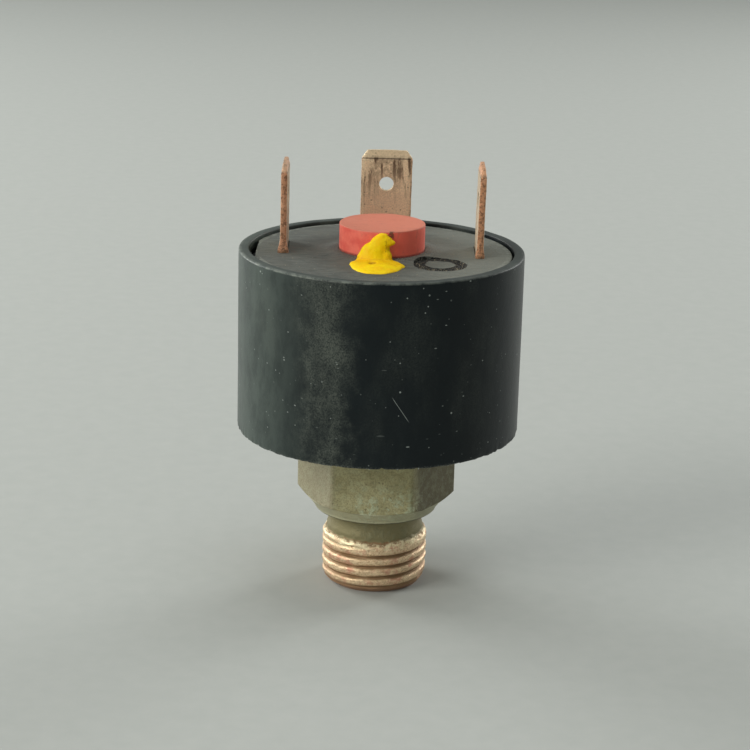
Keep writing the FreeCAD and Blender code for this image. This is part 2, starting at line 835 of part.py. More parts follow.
# ------------------------------------------------------------------- lever
def contact_lever():
    """The forked lever: a ring round the spring, a nose and a knuckle."""
    ring = cut(
        cylinder("lever_out_r", "lever_z", "lever_top_z"),
        cylinder("lever_in_r", "lever_z - 1", "lever_top_z + 1"))
    tail_wide = "tab_width - 2 * tab_thick - 2 * loose"
    tail_deep = "pivot_y - lever_in_r - lever_band / 4"
    tail = box(
        "com_shift", "pivot_y - (%s) / 2" % tail_deep, "lever_z", tail_wide, tail_deep,
        "lever_thick")
    nose = box(
        "0", "-(contact_r + lever_in_r + lever_band / 4) / 2", "lever_z", "lever_nose",
        "contact_r - lever_in_r - lever_band / 4", "lever_thick")
    end = cylinder("lever_nose / 2", "lever_z", "lever_top_z", "0", "-(contact_r)")
    knuckle = rod_along_x(
        "knuckle_dia / 2", "com_shift - (%s) / 2" % tail_wide, tail_wide, "pivot_y", "pivot_z")
    hole = rod_along_x("pivot_dia / 2 + slip", "-10", "20", "pivot_y", "pivot_z")
    rivet_hole = cylinder(
        "contact_shank / 2", "lever_z - 1", "lever_top_z + 1", "0", "-(contact_r)")
    return cut(fuse(ring, tail, nose, end, knuckle), hole, rivet_hole)


def moving_contact():
    """The double-headed silver rivet in the lever's nose."""
    shank = cylinder("contact_shank / 2", "lever_z", "lever_top_z", "0", "-(contact_r)")
    heads = []
    for low in ("lever_z - contact_height", "lever_top_z"):
        heads.append(cylinder("contact_dia / 2", low, low + " + contact_height", "0", "-(contact_r)"))
    return fuse(shank, *heads)


def lever_pin():
    length = "tab_width + 2 * pin_proud"
    return rod_along_x("pivot_dia / 2", "com_shift - (%s) / 2" % length, length, "pivot_y", "pivot_z")


def return_spring():
    return helix_spring(
        "ReturnSpring", "return_dia", "return_wire", "return_turns", "lever_top_z + slip",
        "return_length - 2 * slip", "0", "-(return_y)")


# ----------------------------------------------------------------- carrier
def contact_carrier():
    """The insulating frame that holds the terminals and guides the seat."""
    height = "cover_z - slip"
    tube = cut(
        cylinder("carrier_r", "ring_top_z", height),
        cylinder("carrier_in_r", "ring_top_z - 1", height + " + 1"))
    shelf = sector(
        "arm_in_r + loose", "carrier_r - loose", "ring_top_z", "ring_top_z + shelf_thick", "150", "150")
    blocks = []
    for turn in (135, 315):
        blocks.append(spoke("guide_r", "carrier_r", "guide_width", "guide_z", height, turn))
    track = spoke(
        "-ear_reach - free", "ear_reach + free", "ear_width + 2 * loose", "guide_z - 1",
        height + " + 1", 315)
    lug_in = "seat_r + 2 * free"
    lug_deep = "carrier_r - (%s)" % lug_in
    lug = box(
        "0", "-(carrier_r + %s) / 2" % lug_in, "lug_z", "lug_width", lug_deep, "lug_thick")
    post = cylinder(
        "return_dia / 2 - return_wire - loose", "lug_z - return_length / 4", "lug_z + loose", "0",
        "-(return_y)")
    rests = []
    com_deep = "carrier_r - com_y + tab_thick"
    for side in ("-", "+"):
        x = "com_shift %s (tab_width / 2 + loose + shoulder_out)" % side
        rests.append(box(
            x, "com_y - tab_thick + (%s) / 2" % com_deep, "rest_z", "2 * shoulder_out", com_deep,
            "rest_height"))
    for sign, x, y in (("-", "nc_x", "nc_shift"), ("", "no_x", "no_shift")):
        deep = "carrier_r - %s + tab_thick" % x
        centre = "%s(%s - tab_thick + (%s) / 2)" % (sign, x, deep)
        block = box(centre, y, "rest_z", deep, "tab_width + 2 * shoulder_out", "rest_height")
        slot = box(
            "%s(%s)" % (sign, x), y, "rest_z - 1", "tab_thick + 2 * loose",
            "leg_width + 2 * loose", "rest_height + 2")
        rests.append(cut(block, slot))
    inside = cylinder("carrier_r", "ring_top_z", height)
    frame = fuse(tube, shelf, *blocks, lug, post, *rests)
    return cut(common(frame, inside), track)


node("housing_shell", housing_shell())
node("base_plate", base_plate())
node("port_fitting", port_fitting())
node("fitting_gasket", fitting_gasket())
node("diaphragm", diaphragm())
node("clamp_ring", clamp_ring())
node("thrust_plate", thrust_plate())
node("range_spring", range_spring())
node("spring_seat", spring_seat())
node("adjusting_screw", adjusting_screw())
node("screw_clip", screw_clip())
node("cover_plate", cover_plate())
node("contact_carrier", contact_carrier())
node("terminal_com", terminal_com())
node("terminal_nc", terminal_nc())
node("terminal_no", terminal_no())
node("contact_nc", fixed_contact("nc_arm_z", True))
node("contact_no", fixed_contact("no_arm_z", False))
node("contact_lever", contact_lever())
node("moving_contact", moving_contact())
node("lever_pin", lever_pin())
node("return_spring", return_spring())
node("adjuster_cap", adjuster_cap())
node("seal_on_cover", seal_on_cover())
node("seal_on_cap", seal_on_cap())
doc.recompute()

faults = []
for item in doc.Objects:
    if "Invalid" in item.State or "Error" in item.State:
        faults.append("%s (%s) did not rebuild" % (item.Label, item.Name))
for item in NODES:
    if item.Shape.isNull() or not item.Shape.isValid() or not item.Shape.Solids:
        faults.append("%s has no valid solid" % item.Label)
if faults:
    raise RuntimeError("; ".join(faults))

os.makedirs("parts", exist_ok=True)
for item in NODES:
    item.Shape.exportStep("parts/%s.step" % item.Label)
    extent = item.Shape.BoundBox
    print("%-18s %d solid(s) %9.2f mm3  z %.2f to %.2f" % (
        item.Label, len(item.Shape.Solids), item.Shape.Volume, extent.ZMin, extent.ZMax))
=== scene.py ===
"""Looks for a small pressure switch: a worn black case, a dusty cover with three
tabs, a sealed red cap, and a tarnished brass fitting with a helical thread."""
import math

import bmesh
import bpy
from mathutils import Matrix, Vector, noise


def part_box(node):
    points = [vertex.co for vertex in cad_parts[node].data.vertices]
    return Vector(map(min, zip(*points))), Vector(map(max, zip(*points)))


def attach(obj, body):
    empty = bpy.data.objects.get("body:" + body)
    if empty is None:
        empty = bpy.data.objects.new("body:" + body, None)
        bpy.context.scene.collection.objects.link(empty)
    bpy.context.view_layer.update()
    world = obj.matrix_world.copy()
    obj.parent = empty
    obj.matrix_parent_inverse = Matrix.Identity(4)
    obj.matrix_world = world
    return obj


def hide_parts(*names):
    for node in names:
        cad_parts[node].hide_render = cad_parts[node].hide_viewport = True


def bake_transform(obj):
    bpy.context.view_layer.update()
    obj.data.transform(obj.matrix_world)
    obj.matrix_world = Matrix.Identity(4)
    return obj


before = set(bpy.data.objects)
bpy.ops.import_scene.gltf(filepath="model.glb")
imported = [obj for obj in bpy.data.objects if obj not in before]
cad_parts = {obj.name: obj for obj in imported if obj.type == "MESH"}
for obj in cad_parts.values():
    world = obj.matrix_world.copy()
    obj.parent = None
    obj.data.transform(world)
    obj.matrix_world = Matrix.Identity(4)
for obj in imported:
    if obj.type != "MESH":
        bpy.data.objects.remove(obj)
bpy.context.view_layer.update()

MM = 0.001


# ------------------------------------------------------------ the frame, in mm
def low_high(node):
    """The lowest and highest corners of a CAD node, in millimetres."""
    low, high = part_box(node)
    return Vector(low) / MM, Vector(high) / MM


CASE_LOW, CASE_HIGH = low_high("housing_shell")
COVER_LOW, COVER_HIGH = low_high("cover_plate")
FITTING_HIGH = low_high("port_fitting")[1]
PLATE_HIGH = low_high("base_plate")[1]
RING_HIGH = low_high("clamp_ring")[1]
CAP_LOW, CAP_HIGH = low_high("adjuster_cap")
WASHER_LOW = low_high("fitting_gasket")[0]
CASE_R = CASE_HIGH.x
BOSS_TOP = COVER_HIGH.z
BOSS_RISE = 0.4  # the raised well round the cap stands this far above the disc
COVER_TOP = BOSS_TOP - BOSS_RISE
CAP_R = CAP_HIGH.x
CAP_TOP = CAP_HIGH.z


# ------------------------------------------------------------------ materials
class Signal:
    """A socket in a material; Python's operators on it build Math nodes."""

    def __init__(self, finish, socket):
        self.finish = finish
        self.socket = socket

    def maths(self, operation, *values):
        return self.finish.node("ShaderNodeMath", {"operation": operation}, *values)

    def __add__(self, other):
        return self.maths("ADD", self, other)

    def __sub__(self, other):
        return self.maths("SUBTRACT", self, other)

    def __rsub__(self, other):
        return self.maths("SUBTRACT", other, self)

    def __mul__(self, other):
        return self.maths("MULTIPLY", self, other)

    def __pow__(self, other):
        return self.maths("POWER", self, other)

    def __abs__(self):
        return self.maths("ABSOLUTE", self)

    __radd__ = __add__
    __rmul__ = __mul__

    def peak(self, other):
        """The larger of two values, point by point."""
        return self.maths("MAXIMUM", self, other)

    def rise(self, start, end):
        """0 at start, 1 at end, with a soft slope between; end may be the lower."""
        low, high = min(start, end), max(start, end)
        ends = (0.0, 1.0) if start < end else (1.0, 0.0)
        kind = {"interpolation_type": "SMOOTHSTEP"}
        return self.finish.node("ShaderNodeMapRange", kind, self, low, high, *ends)

    def within(self, low, high, soft):
        """1 between low and high, fading out over soft on each side."""
        return self.rise(low - soft, low) * self.rise(high + soft, high)


class Finish:
    """A procedural material, on the piece's own place in millimetres."""

    def __init__(self, name):
        self.material = bpy.data.materials.new(name)
        self.material.use_nodes = True
        self.tree = self.material.node_tree
        self.tree.nodes.clear()
        metres = self.node("ShaderNodeTexCoord", {}, out="Object")
        self.place = self.node(
            "ShaderNodeVectorMath", {"operation": "SCALE"}, metres, Scale=1 / MM
        )
        self.x, self.y, self.z = (
            self.node("ShaderNodeSeparateXYZ", {}, self.place, out=axis) for axis in "XYZ"
        )
        self.radius = (self.x * self.x + self.y * self.y) ** 0.5

    def node(self, kind, settings, *values, out=0, **named):
        """One node: its settings first, then values or links for its sockets."""
        item = self.tree.nodes.new(kind)
        for key, setting in settings.items():
            setattr(item, key, setting)
        for key, value in [*enumerate(values), *named.items()]:
            self.feed(self.find(item.inputs, key), value)
        return Signal(self, self.find(item.outputs, out))

    @staticmethod
    def find(sockets, key):
        """A socket by its order, or by its identifier or name."""
        if isinstance(key, int):
            return sockets[key]
        wanted = key.replace("_", " ")
        return next(s for s in sockets if s.identifier == key or s.name == wanted)

    def feed(self, socket, value):
        if isinstance(value, Signal):
            self.tree.links.new(value.socket, socket)
        elif socket.type == "RGBA":
            socket.default_value = (*value, 1.0)
        else:
            socket.default_value = value

    def placed(self, stretch=(1, 1, 1), turn=(0, 0, 0), shift=(0, 0, 0)):
        """The piece's place, moved, turned in degrees and stretched."""
        angles = tuple(math.radians(angle) for angle in turn)
        return self.node("ShaderNodeMapping", {}, self.place, shift, angles, stretch)

    def cloud(self, size, detail=3.0, rough=0.55, **where):
        """Noise about 0.5, in patches of about size millimetres."""
        place = self.placed(**where)
        return self.node(
            "ShaderNodeTexNoise", {}, Vector=place, Scale=1 / size, Detail=detail, Roughness=rough
        )

    def spots(self, size, share, fill=0.3, **where):
        """Scattered spots: cells of this size, spots in a share of them."""
        cells = self.node("ShaderNodeTexVoronoi", {}, Vector=self.placed(**where), Scale=1 / size)
        colour = Signal(self, cells.socket.node.outputs["Color"])
        chance = self.node("ShaderNodeSeparateColor", {}, colour)
        return cells.rise(fill, fill * 0.5) * chance.rise(1 - share, 1.02 - share)

    def mix(self, share, first, second):
        """Blend two colours."""
        kind = {"data_type": "RGBA"}
        feeds = {"Factor_Float": share, "A_Color": first, "B_Color": second}
        return self.node("ShaderNodeMix", kind, out="Result_Color", **feeds)

    def bump(self, height, depth):
        """Relief, depth millimetres from low to high."""
        return self.node("ShaderNodeBump", {}, Strength=1.0, Distance=depth * MM, Height=height)

    def surface(self, **sockets):
        """Close the material with its shader."""
        shader = self.node("ShaderNodeBsdfPrincipled", {}, **sockets)
        output = self.tree.nodes.new("ShaderNodeOutputMaterial")
        self.feed(output.inputs["Surface"], shader)
        return self.material


def tint(red, green, blue):
    """A colour from 0-255 as the eye names it, made linear."""
    return tuple(
        c / 255 / 12.92 if c < 11 else ((c / 255 + 0.055) / 1.055) ** 2.4
        for c in (red, green, blue)
    )


# --------------------------------------------------------------- mesh building
def rounded(corners, steps=4):
    """An outline of (x, z) points from corners (x, z, radius of the round)."""
    points = []
    for index, (x, z, radius) in enumerate(corners):
        corner = Vector((x, z))
        if not radius:
            points.append(corner)
            continue
        before = Vector(corners[index - 1][:2]) - corner
        after = Vector(corners[(index + 1) % len(corners)][:2]) - corner
        start = corner + before.normalized() * radius
        end = corner + after.normalized() * radius
        for step in range(steps + 1):
            t = step / steps
            points.append(start * (1 - t) ** 2 + corner * 2 * t * (1 - t) + end * t ** 2)
    return points


def divided(points, pitch):
    """The outline with its long runs divided to about this pitch."""
    result = []
    for point, after in zip(points, points[1:] + points[:1]):
        parts = max(1, round((after - point).length / pitch))
        result += [point.lerp(after, part / parts) for part in range(parts)]
    return result


def ring_grid(rows, around, start=0.0, radius_at=None):
    """A closed surface turned about z through rows of (r, z), joined end to end.

    radius_at(row, r, z, angle) may change a point's radius. A row with r = 0 is
    one point, and the surface is then open along the axis and closed by fans.
    """
    shape = bmesh.new()
    rings = []
    for number, (r, z) in enumerate(rows):
        if r == 0:
            rings.append([shape.verts.new((0, 0, z))] * around)
            continue
        ring = []
        for step in range(around):
            angle = math.radians(start) + 2 * math.pi * step / around
            reach = radius_at(number, r, z, angle) if radius_at else r
            ring.append(shape.verts.new((reach * math.cos(angle), reach * math.sin(angle), z)))
        rings.append(ring)
    for low, high in zip(rings, rings[1:] + rings[:1]):
        if low[0] is low[1] and high[0] is high[1]:
            continue
        for step in range(around):
            after = (step + 1) % around
            loop = [low[step], low[after], high[after], high[step]]
            shape.faces.new(list(dict.fromkeys(loop)))
    bmesh.ops.recalc_face_normals(shape, faces=shape.faces)
    return shape


def block(centre, size, cuts=(0, 0, 0)):
    """A box with its sides divided, centre and size in millimetres."""
    shape = bmesh.new()
    bmesh.ops.create_cube(shape, size=1.0)
    for axis, count in enumerate(cuts):
        for cut in range(1, count + 1):
            place = Vector((0, 0, 0))
            place[axis] = cut / (count + 1) - 0.5
            normal = Vector((0, 0, 0))
            normal[axis] = 1
            everything = shape.verts[:] + shape.edges[:] + shape.faces[:]
            bmesh.ops.bisect_plane(shape, geom=everything, plane_co=place, plane_no=normal)
    bmesh.ops.scale(shape, vec=size, verts=shape.verts)
    bmesh.ops.translate(shape, vec=centre, verts=shape.verts)
    return shape


def drum(radius, low, high, x=0.0, y=0.0, around=96, lying=False):
    """A plain cylinder for cutting, upright or lying along y."""
    shape = bmesh.new()
    bmesh.ops.create_cone(
        shape, cap_ends=True, segments=around, radius1=radius, radius2=radius, depth=high - low
    )
    if lying:
        quarter = Matrix.Rotation(math.pi / 2, 4, "X")
        bmesh.ops.transform(shape, matrix=quarter, verts=shape.verts)
    bmesh.ops.translate(shape, vec=(x, y, (low + high) / 2), verts=shape.verts)
    return shape


def joined(*shapes):
    """Several shapes as one, each staying closed."""
    whole = bmesh.new()
    for shape in shapes:
        mesh = bpy.data.meshes.new("part")
        shape.to_mesh(mesh)
        shape.free()
        whole.from_mesh(mesh)
        bpy.data.meshes.remove(mesh)
    return whole


def as_object(shape, name="part"):
    """A new object with the shape as its mesh; the shape goes."""
    mesh = bpy.data.meshes.new(name)
    shape.to_mesh(mesh)
    shape.free()
    thing = bpy.data.objects.new(name, mesh)
    bpy.context.collection.objects.link(thing)
    return thing


def as_shape(thing):
    """The object's mesh with its modifiers applied; the object goes."""
    mesh = bpy.data.meshes.new_from_object(
        thing.evaluated_get(bpy.context.evaluated_depsgraph_get())
    )
    shape = bmesh.new()
    shape.from_mesh(mesh)
    bpy.data.meshes.remove(mesh)
    bpy.data.meshes.remove(thing.data)
    return shape


def combined(base, operation, *tools):
    """Exact boolean of one shape with others: DIFFERENCE, UNION or INTERSECT."""
    for tool in tools:
        first, second = as_object(base), as_object(tool)
        modifier = first.modifiers.new("cut", "BOOLEAN")
        modifier.operation = operation
        modifier.solver = "EXACT"
        modifier.object = second
        bpy.context.view_layer.update()
        base = as_shape(first)
        bpy.data.meshes.remove(second.data)
    return base


def cad_copy(node):
    """A merged copy of a CAD node's mesh, in millimetres."""
    shape = bmesh.new()
    shape.from_mesh(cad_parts[node].data)
    bmesh.ops.scale(shape, vec=(1 / MM,) * 3, verts=shape.verts)
    bmesh.ops.remove_doubles(shape, verts=shape.verts, dist=0.0005)
    return shape


def ruffle(shape, change):
    """Move every vertex by change(place), a vector in millimetres."""
    moves = [change(vertex.co) for vertex in shape.verts]
    for vertex, move in zip(shape.verts, moves):
        vertex.co += Vector(move)
    return shape


def waver(place, size, seed=0.0):
    """Smooth noise from about -1 to 1, in patches of size millimetres."""
    return noise.noise(Vector(place) / size + Vector((seed, seed * 1.7, -seed)))


def finished(name, shape, material, body, *nodes, crease=35.0, slot=None):
    """The piece in metres: creased, painted, and riding on a CAD body.

    body may instead be two body names and two points; such a piece is not
    attached, and its transform is only baked.
    """
    bmesh.ops.scale(shape, vec=(MM,) * 3, verts=shape.verts)
    limit = math.radians(crease)
    for face in shape.faces:
        face.smooth = True
    for edge in shape.edges:
        if len(edge.link_faces) == 2 and edge.calc_face_angle(0) > limit:
            edge.smooth = False
    piece = as_object(shape, name)
    piece.name = name
    piece.data.materials.append(material)
    if isinstance(body, str):
        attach(piece, body)
    else:
        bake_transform(piece)
    if nodes:
        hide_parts(*nodes)
    return piece


# -------------------------------------------------------------- case and cover
RIM_WALL = 1.25
SKIRT_WALL = 1.6
WALL = 2.4
LIP_HEIGHT = 0.6
LIP_REACH = 0.8
GROOVE_REACH = 0.4
GROOVE_HALF = 0.4
COVER_GAP = 0.25


def case_moulding():
    """The case: a turned wall with soft edges, ragged along its lower one."""
    low, top = CASE_LOW.z, CASE_HIGH.z
    rim = CASE_R - RIM_WALL
    skirt = CASE_R - SKIRT_WALL
    bore = CASE_R - WALL
    groove = COVER_LOW.z + (COVER_TOP - COVER_LOW.z) / 2
    outline = rounded([
        (skirt - LIP_REACH, low, 0.15),
        (CASE_R, low, 0.22),
        (CASE_R, top, 0.32),
        (rim, top, 0.2),
        (rim, groove + GROOVE_HALF, 0),
        (rim + GROOVE_REACH, groove + GROOVE_HALF, 0),
        (rim + GROOVE_REACH, groove - GROOVE_HALF, 0),
        (rim, groove - GROOVE_HALF, 0),
        (rim, COVER_LOW.z, 0),
        (bore, COVER_LOW.z, 0),
        (bore, RING_HIGH.z, 0),
        (skirt, RING_HIGH.z, 0),
        (skirt, low + LIP_HEIGHT, 0),
        (skirt - LIP_REACH, low + LIP_HEIGHT, 0.1),
    ])
    rows = [(p.x, p.y) for p in divided(outline, 0.55)]
    shape = ring_grid(rows, 360)

    def wear(place):
        radial = Vector((place.x, place.y, 0))
        reach = radial.length
        radial.normalize()
        move = Vector((0, 0, 0))
        if reach > CASE_R - 1 and place.z < low + 0.5:
            chip = max(0.0, waver(place, 0.45, 3) - 0.1) + max(0.0, waver(place, 1.6, 5) - 0.25)
            move += radial * -0.22 * chip + Vector((0, 0, 0.14 * chip))
            move.z -= 0.07 * max(0.0, waver(place, 0.8, 9))
        if reach > rim - 0.1 and place.z > top - 0.45:
            move += radial * -0.05 * max(0.0, waver(place, 0.9, 11))
            move.z += 0.03 * waver(place, 2.5, 13)
        if reach > CASE_R - 0.01:
            move += radial * 0.02 * waver(place, 6.0, 21)
        return move

    return ruffle(shape, wear)


TAB_CLEARANCE = 0.1
WELL_SLIP = 0.05
HEAD_HOLE_R = 3.05
WELL_DEPTH = 1.0
SEAL_SPLIT_R = 5.95
SLOPE_HIGH_R = SEAL_SPLIT_R - 0.1
SLOPE_LOW_R = SEAL_SPLIT_R + 1.6
MARK_PLACE = MARK_X, MARK_Y = 6.9, -6.0
MARK_R = 3.15
MARK_WIDTH = 1.3
MARK_DEPTH = 0.07


def tab_box(node, low, high, room):
    """The plan of a tab where it stands above the cover, as a block."""
    above = (COVER_TOP + 1) * MM
    corners = [v.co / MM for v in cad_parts[node].data.vertices if v.co.z > above]
    least = Vector([min(c[axis] for c in corners) for axis in range(3)])
    most = Vector([max(c[axis] for c in corners) for axis in range(3)])
    centre = (least + most) / 2
    size = most - least
    return (
        Vector((centre.x, centre.y, (low + high) / 2)),
        Vector((size.x + 2 * room, size.y + 2 * room, high - low)),
    )


TABS = ("terminal_com", "terminal_nc", "terminal_no")


def cover_face():
    """The cover: a disc sloping up to the cap well, with slots, a notch and a ring mark."""
    low, top = COVER_LOW.z, COVER_TOP
    edge = CASE_R - RIM_WALL - COVER_GAP
    well = CAP_R + WELL_SLIP
    outline = rounded([
        (HEAD_HOLE_R, low, 0),
        (edge, low, 0.2),
        (edge, top, 0.18),
        (SLOPE_LOW_R, top, 0.8),
        (SLOPE_HIGH_R, BOSS_TOP, 0.35),
        (well, BOSS_TOP, 0.06),
        (well, top - WELL_DEPTH, 0),
        (HEAD_HOLE_R, top - WELL_DEPTH, 0.1),
    ])
    shape = ring_grid([(p.x, p.y) for p in outline], 240)
    slots = [block(*tab_box(node, low - 1, top + 1, TAB_CLEARANCE)) for node in TABS]
    notch = block((-edge, 0, top), (1.4, 7.85, 2.4), (0, 8, 0))
    ruffle(notch, lambda place: (0.15 * waver(place, 1.0, 4), 0.2 * waver(place, 1.0, 6), 0))
    mark = combined(
        drum(MARK_R, top - MARK_DEPTH, top + 1, *MARK_PLACE),
        "DIFFERENCE",
        drum(MARK_R - MARK_WIDTH, top - 1, top + 2, *MARK_PLACE),
    )
    return combined(shape, "DIFFERENCE", *slots, notch, mark)


# --------------------------------------------------------------------- fitting
PITCH = 1.337
CREST_R = 6.56
ROOT_R = 6.12
THREAD_TOP = 6.75
NECK_R = 5.95
NECK_TOP = 9.6
SEAT_R = 7.5
HEX_FLAT = 8.5
HEX_TURN = -3.5
HEX_CORNER_R = 9.72
BORE_R = 2.0
SPIGOT_R = 6.0
STAKE_R = 6.75
BEVEL_Z = 10.0
BAND_Z = 11.1
BAND_R = 8.45
HEX_LOW = 11.9
AROUND = 480


def thread_radius(angle, z):
    """The worn right-hand thread: broad crests, narrow grooves, ragged start."""
    turns = (z - 0.45 - PITCH * angle / (2 * math.pi)) / PITCH
    wave = 0.5 + 0.5 * math.cos(2 * math.pi * turns)
    place = (math.cos(angle) * 3, math.sin(angle) * 3, z * 1.3)
    form = 1 - (1 - wave) ** (2.4 + 0.9 * waver(place, 2.4, 3))
    crest = CREST_R - 0.05 - 0.06 * abs(waver(place, 1.1, 2)) - 0.04 * waver(place, 0.35, 4)
    root = ROOT_R + 0.16 * waver(place, 0.9, 6)
    crest -= 0.95 * max(0.0, 1 - z / 1.25) ** 1.5 + 0.1 * max(0.0, 1 - z / 3.2)
    reach = root + (crest - root) * form
    top = THREAD_TOP + 0.3 * waver(place, 1.6, 12) + 0.16 * waver(place, 0.45, 14)
    lip = min(1.0, max(0.0, (z - top + 1.0) / 0.25))
    reach += (crest - reach) * lip * 0.8
    slope = min(1.0, max(0.0, (top - z) / 0.6))
    return NECK_R + (reach - NECK_R) * (1 - (1 - slope) ** 1.5)


def hex_radius(angle, r):
    """A hexagon's reach at this angle, turned off at radius r."""
    turned = math.degrees(angle) - HEX_TURN
    off_flat = math.radians(turned % 60 - 30)
    return min(HEX_FLAT / math.cos(off_flat), r)


def fitting():
    """Thread, waisted neck, bevelled hexagon, washer seat, spigot and port."""
    rows = [(BORE_R + 0.3, 0.0, "plain"), (3.4, 0.0, "plain"), (4.6, 0.0, "plain")]
    rows += [(0, 0.02 + (THREAD_TOP + 0.5) * k / 66, "thread") for k in range(67)]
    waist = THREAD_TOP + 0.52
    for k in range(1, 15):
        t = k / 14
        dip = 0.2 * math.sin(math.pi * t)
        flare = 0.75 * max(0.0, (t - 0.6) / 0.4) ** 2
        rows.append((NECK_R - dip + flare, waist + (NECK_TOP - 0.06 - waist) * t, "neck"))
    rows += [(SEAT_R - 0.25, NECK_TOP - 0.02, "neck"), (SEAT_R - 0.04, NECK_TOP + 0.04, "bevel")]
    rows += [(SEAT_R + 0.04 + 0.1 * k / 3, NECK_TOP + 0.12 + 0.12 * k, "bevel") for k in range(4)]
    for k in range(1, 11):
        rows.append((SEAT_R + 0.15 + 0.8 * k / 10, BEVEL_Z + 1.1 * k / 10, "bevel"))
    for k in range(1, 15):
        out = BAND_R + (HEX_CORNER_R - BAND_R) * k / 14
        rows.append((out, BAND_Z + 0.66 * k / 14, "bevel"))
    hex_top = WASHER_LOW.z
    side = hex_top - 0.3 - HEX_LOW
    rows += [(HEX_CORNER_R, HEX_LOW + side * k / 9, "hex") for k in range(10)]
    rows += [(HEX_CORNER_R - 0.1, hex_top - 0.12, "hex"), (HEX_CORNER_R - 0.45, hex_top, "hex")]
    rows += [(SPIGOT_R + 0.6, hex_top, "plain"), (SPIGOT_R, hex_top, "plain")]
    rows += [(SPIGOT_R, PLATE_HIGH.z, "plain"), (STAKE_R, PLATE_HIGH.z, "plain")]
    rows += [(SPIGOT_R + 0.3, FITTING_HIGH.z, "plain"), (BORE_R, FITTING_HIGH.z, "plain")]
    rows += [(BORE_R, FITTING_HIGH.z * k / 8, "plain") for k in range(7, 0, -1)]
    rows += [(BORE_R, 0.35, "plain")]

    def reach(number, r, z, angle):
        kind = rows[number][2]
        place = (math.cos(angle) * r, math.sin(angle) * r, z)
        if kind == "plain":
            return r
        if kind == "thread":
            return thread_radius(angle, z)
        if kind == "neck":
            return r + 0.03 * waver(place, 0.9, 31)
        wear = 0.02 * waver(place, 1.6, 33) + 0.015 * waver(place, 0.5, 35)
        return hex_radius(angle, r) + wear

    return ring_grid([(r or 1.0, z) for r, z, kind in rows], AROUND, HEX_TURN, reach)


# ------------------------------------------------------------------------ tabs
TAB_THICK = 0.8
TIP_THICK = 0.34
LEAD_IN = 1.05
CORNER_IN = 0.7
CORNER_DOWN = 1.05
HOLE_R = 0.9
HOLE_DROP = 4.25


def tab(node, lean=0.0, foot=0.0, round_tip=0.0):
    """A tab: the CAD's inner half, and a pressed blade above the cover.

    lean is how far the tip stands off to +x, foot how far its lower front
    corner is splayed, and round_tip how much the tip's corners are rubbed.
    """
    join = COVER_TOP - 1.0
    centre, size = tab_box(node, join, low_high(node)[1].z, 0.0)
    broad_x = size.x > size.y
    wide = max(size.x, size.y)
    top = centre.z + size.z / 2
    blade = block((0, 0, (join + top) / 2), (wide, TAB_THICK, top - join), (23, 3, 47))

    def press(place):
        x, y, drop = place.x, place.y, top - place.z
        narrow = 1 - (CORNER_IN + round_tip) / (wide / 2) * max(0.0, 1 - drop / CORNER_DOWN)
        tip = TIP_THICK + 0.4 * round_tip
        thin = 1 - (1 - tip / TAB_THICK) * max(0.0, 1 - drop / LEAD_IN) ** 0.8
        if abs(x) > wide / 2 - 0.01 and abs(y) > TAB_THICK / 2 - 0.01:
            narrow -= 0.06 / (wide / 2)
            thin *= 0.86
        rise = place.z - COVER_TOP
        splay = foot * math.exp(-((rise - 0.15) / 0.75) ** 2) * max(0.0, -x / wide * 2) ** 2
        grain = 0.02 * waver((x, y * 4, place.z), 0.5, top) + 0.02 * waver(place, 2.0, top + 3)
        move = Vector((x * (narrow - 1), y * (thin - 1 + splay) + grain * (1 if y > 0 else -1), 0))
        move.x += (0.35 * splay + 0.03 * waver(place, 0.8, top + 7)) * (1 if x > 0 else -1)
        if drop < 0.01:
            move.z -= 0.1 * abs(x) / wide + 0.05 * abs(waver(place, 0.9, top))
        return move

    ruffle(blade, press)
    hole = drum(HOLE_R, -2, 2, lying=True, around=48)
    bmesh.ops.translate(hole, vec=(0, 0, top - HOLE_DROP), verts=hole.verts)
    blade = combined(blade, "DIFFERENCE", hole)
    if not broad_x:
        bmesh.ops.rotate(blade, matrix=Matrix.Rotation(math.pi / 2, 3, "Z"), verts=blade.verts)
    bmesh.ops.translate(blade, vec=(centre.x, centre.y, 0), verts=blade.verts)
    ruffle(blade, lambda place: (lean * max(0.0, place.z - COVER_TOP) / (top - COVER_TOP), 0, 0))
    inner = cad_copy(node)
    everything = inner.verts[:] + inner.edges[:] + inner.faces[:]
    cut = bmesh.ops.bisect_plane(
        inner, geom=everything, plane_co=(0, 0, join + 0.2), plane_no=(0, 0, 1), clear_outer=True
    )
    edges = [item for item in cut["geom_cut"] if isinstance(item, bmesh.types.BMEdge)]
    bmesh.ops.holes_fill(inner, edges=edges)
    return joined(inner, blade)


# --------------------------------------------------------------- cap and seal
CAP_WALL = 0.85
CAP_ROOF = 1.0


def cap():
    """The hollow cap, crisp at its top edge."""
    inner = CAP_R - CAP_WALL
    roof = CAP_TOP - CAP_ROOF
    outline = rounded([
        (inner, CAP_LOW.z, 0.1),
        (CAP_R, CAP_LOW.z, 0.15),
        (CAP_R, CAP_TOP, 0.14),
        (0, CAP_TOP, 0),
        (0, roof, 0),
        (inner, roof, 0.2),
    ])
    shape = ring_grid([(p.x, p.y) for p in divided(outline, 0.35)], 192)
    return ruffle(shape, lambda place: place.normalized() * 0.02 * waver(place, 2.2, 41))


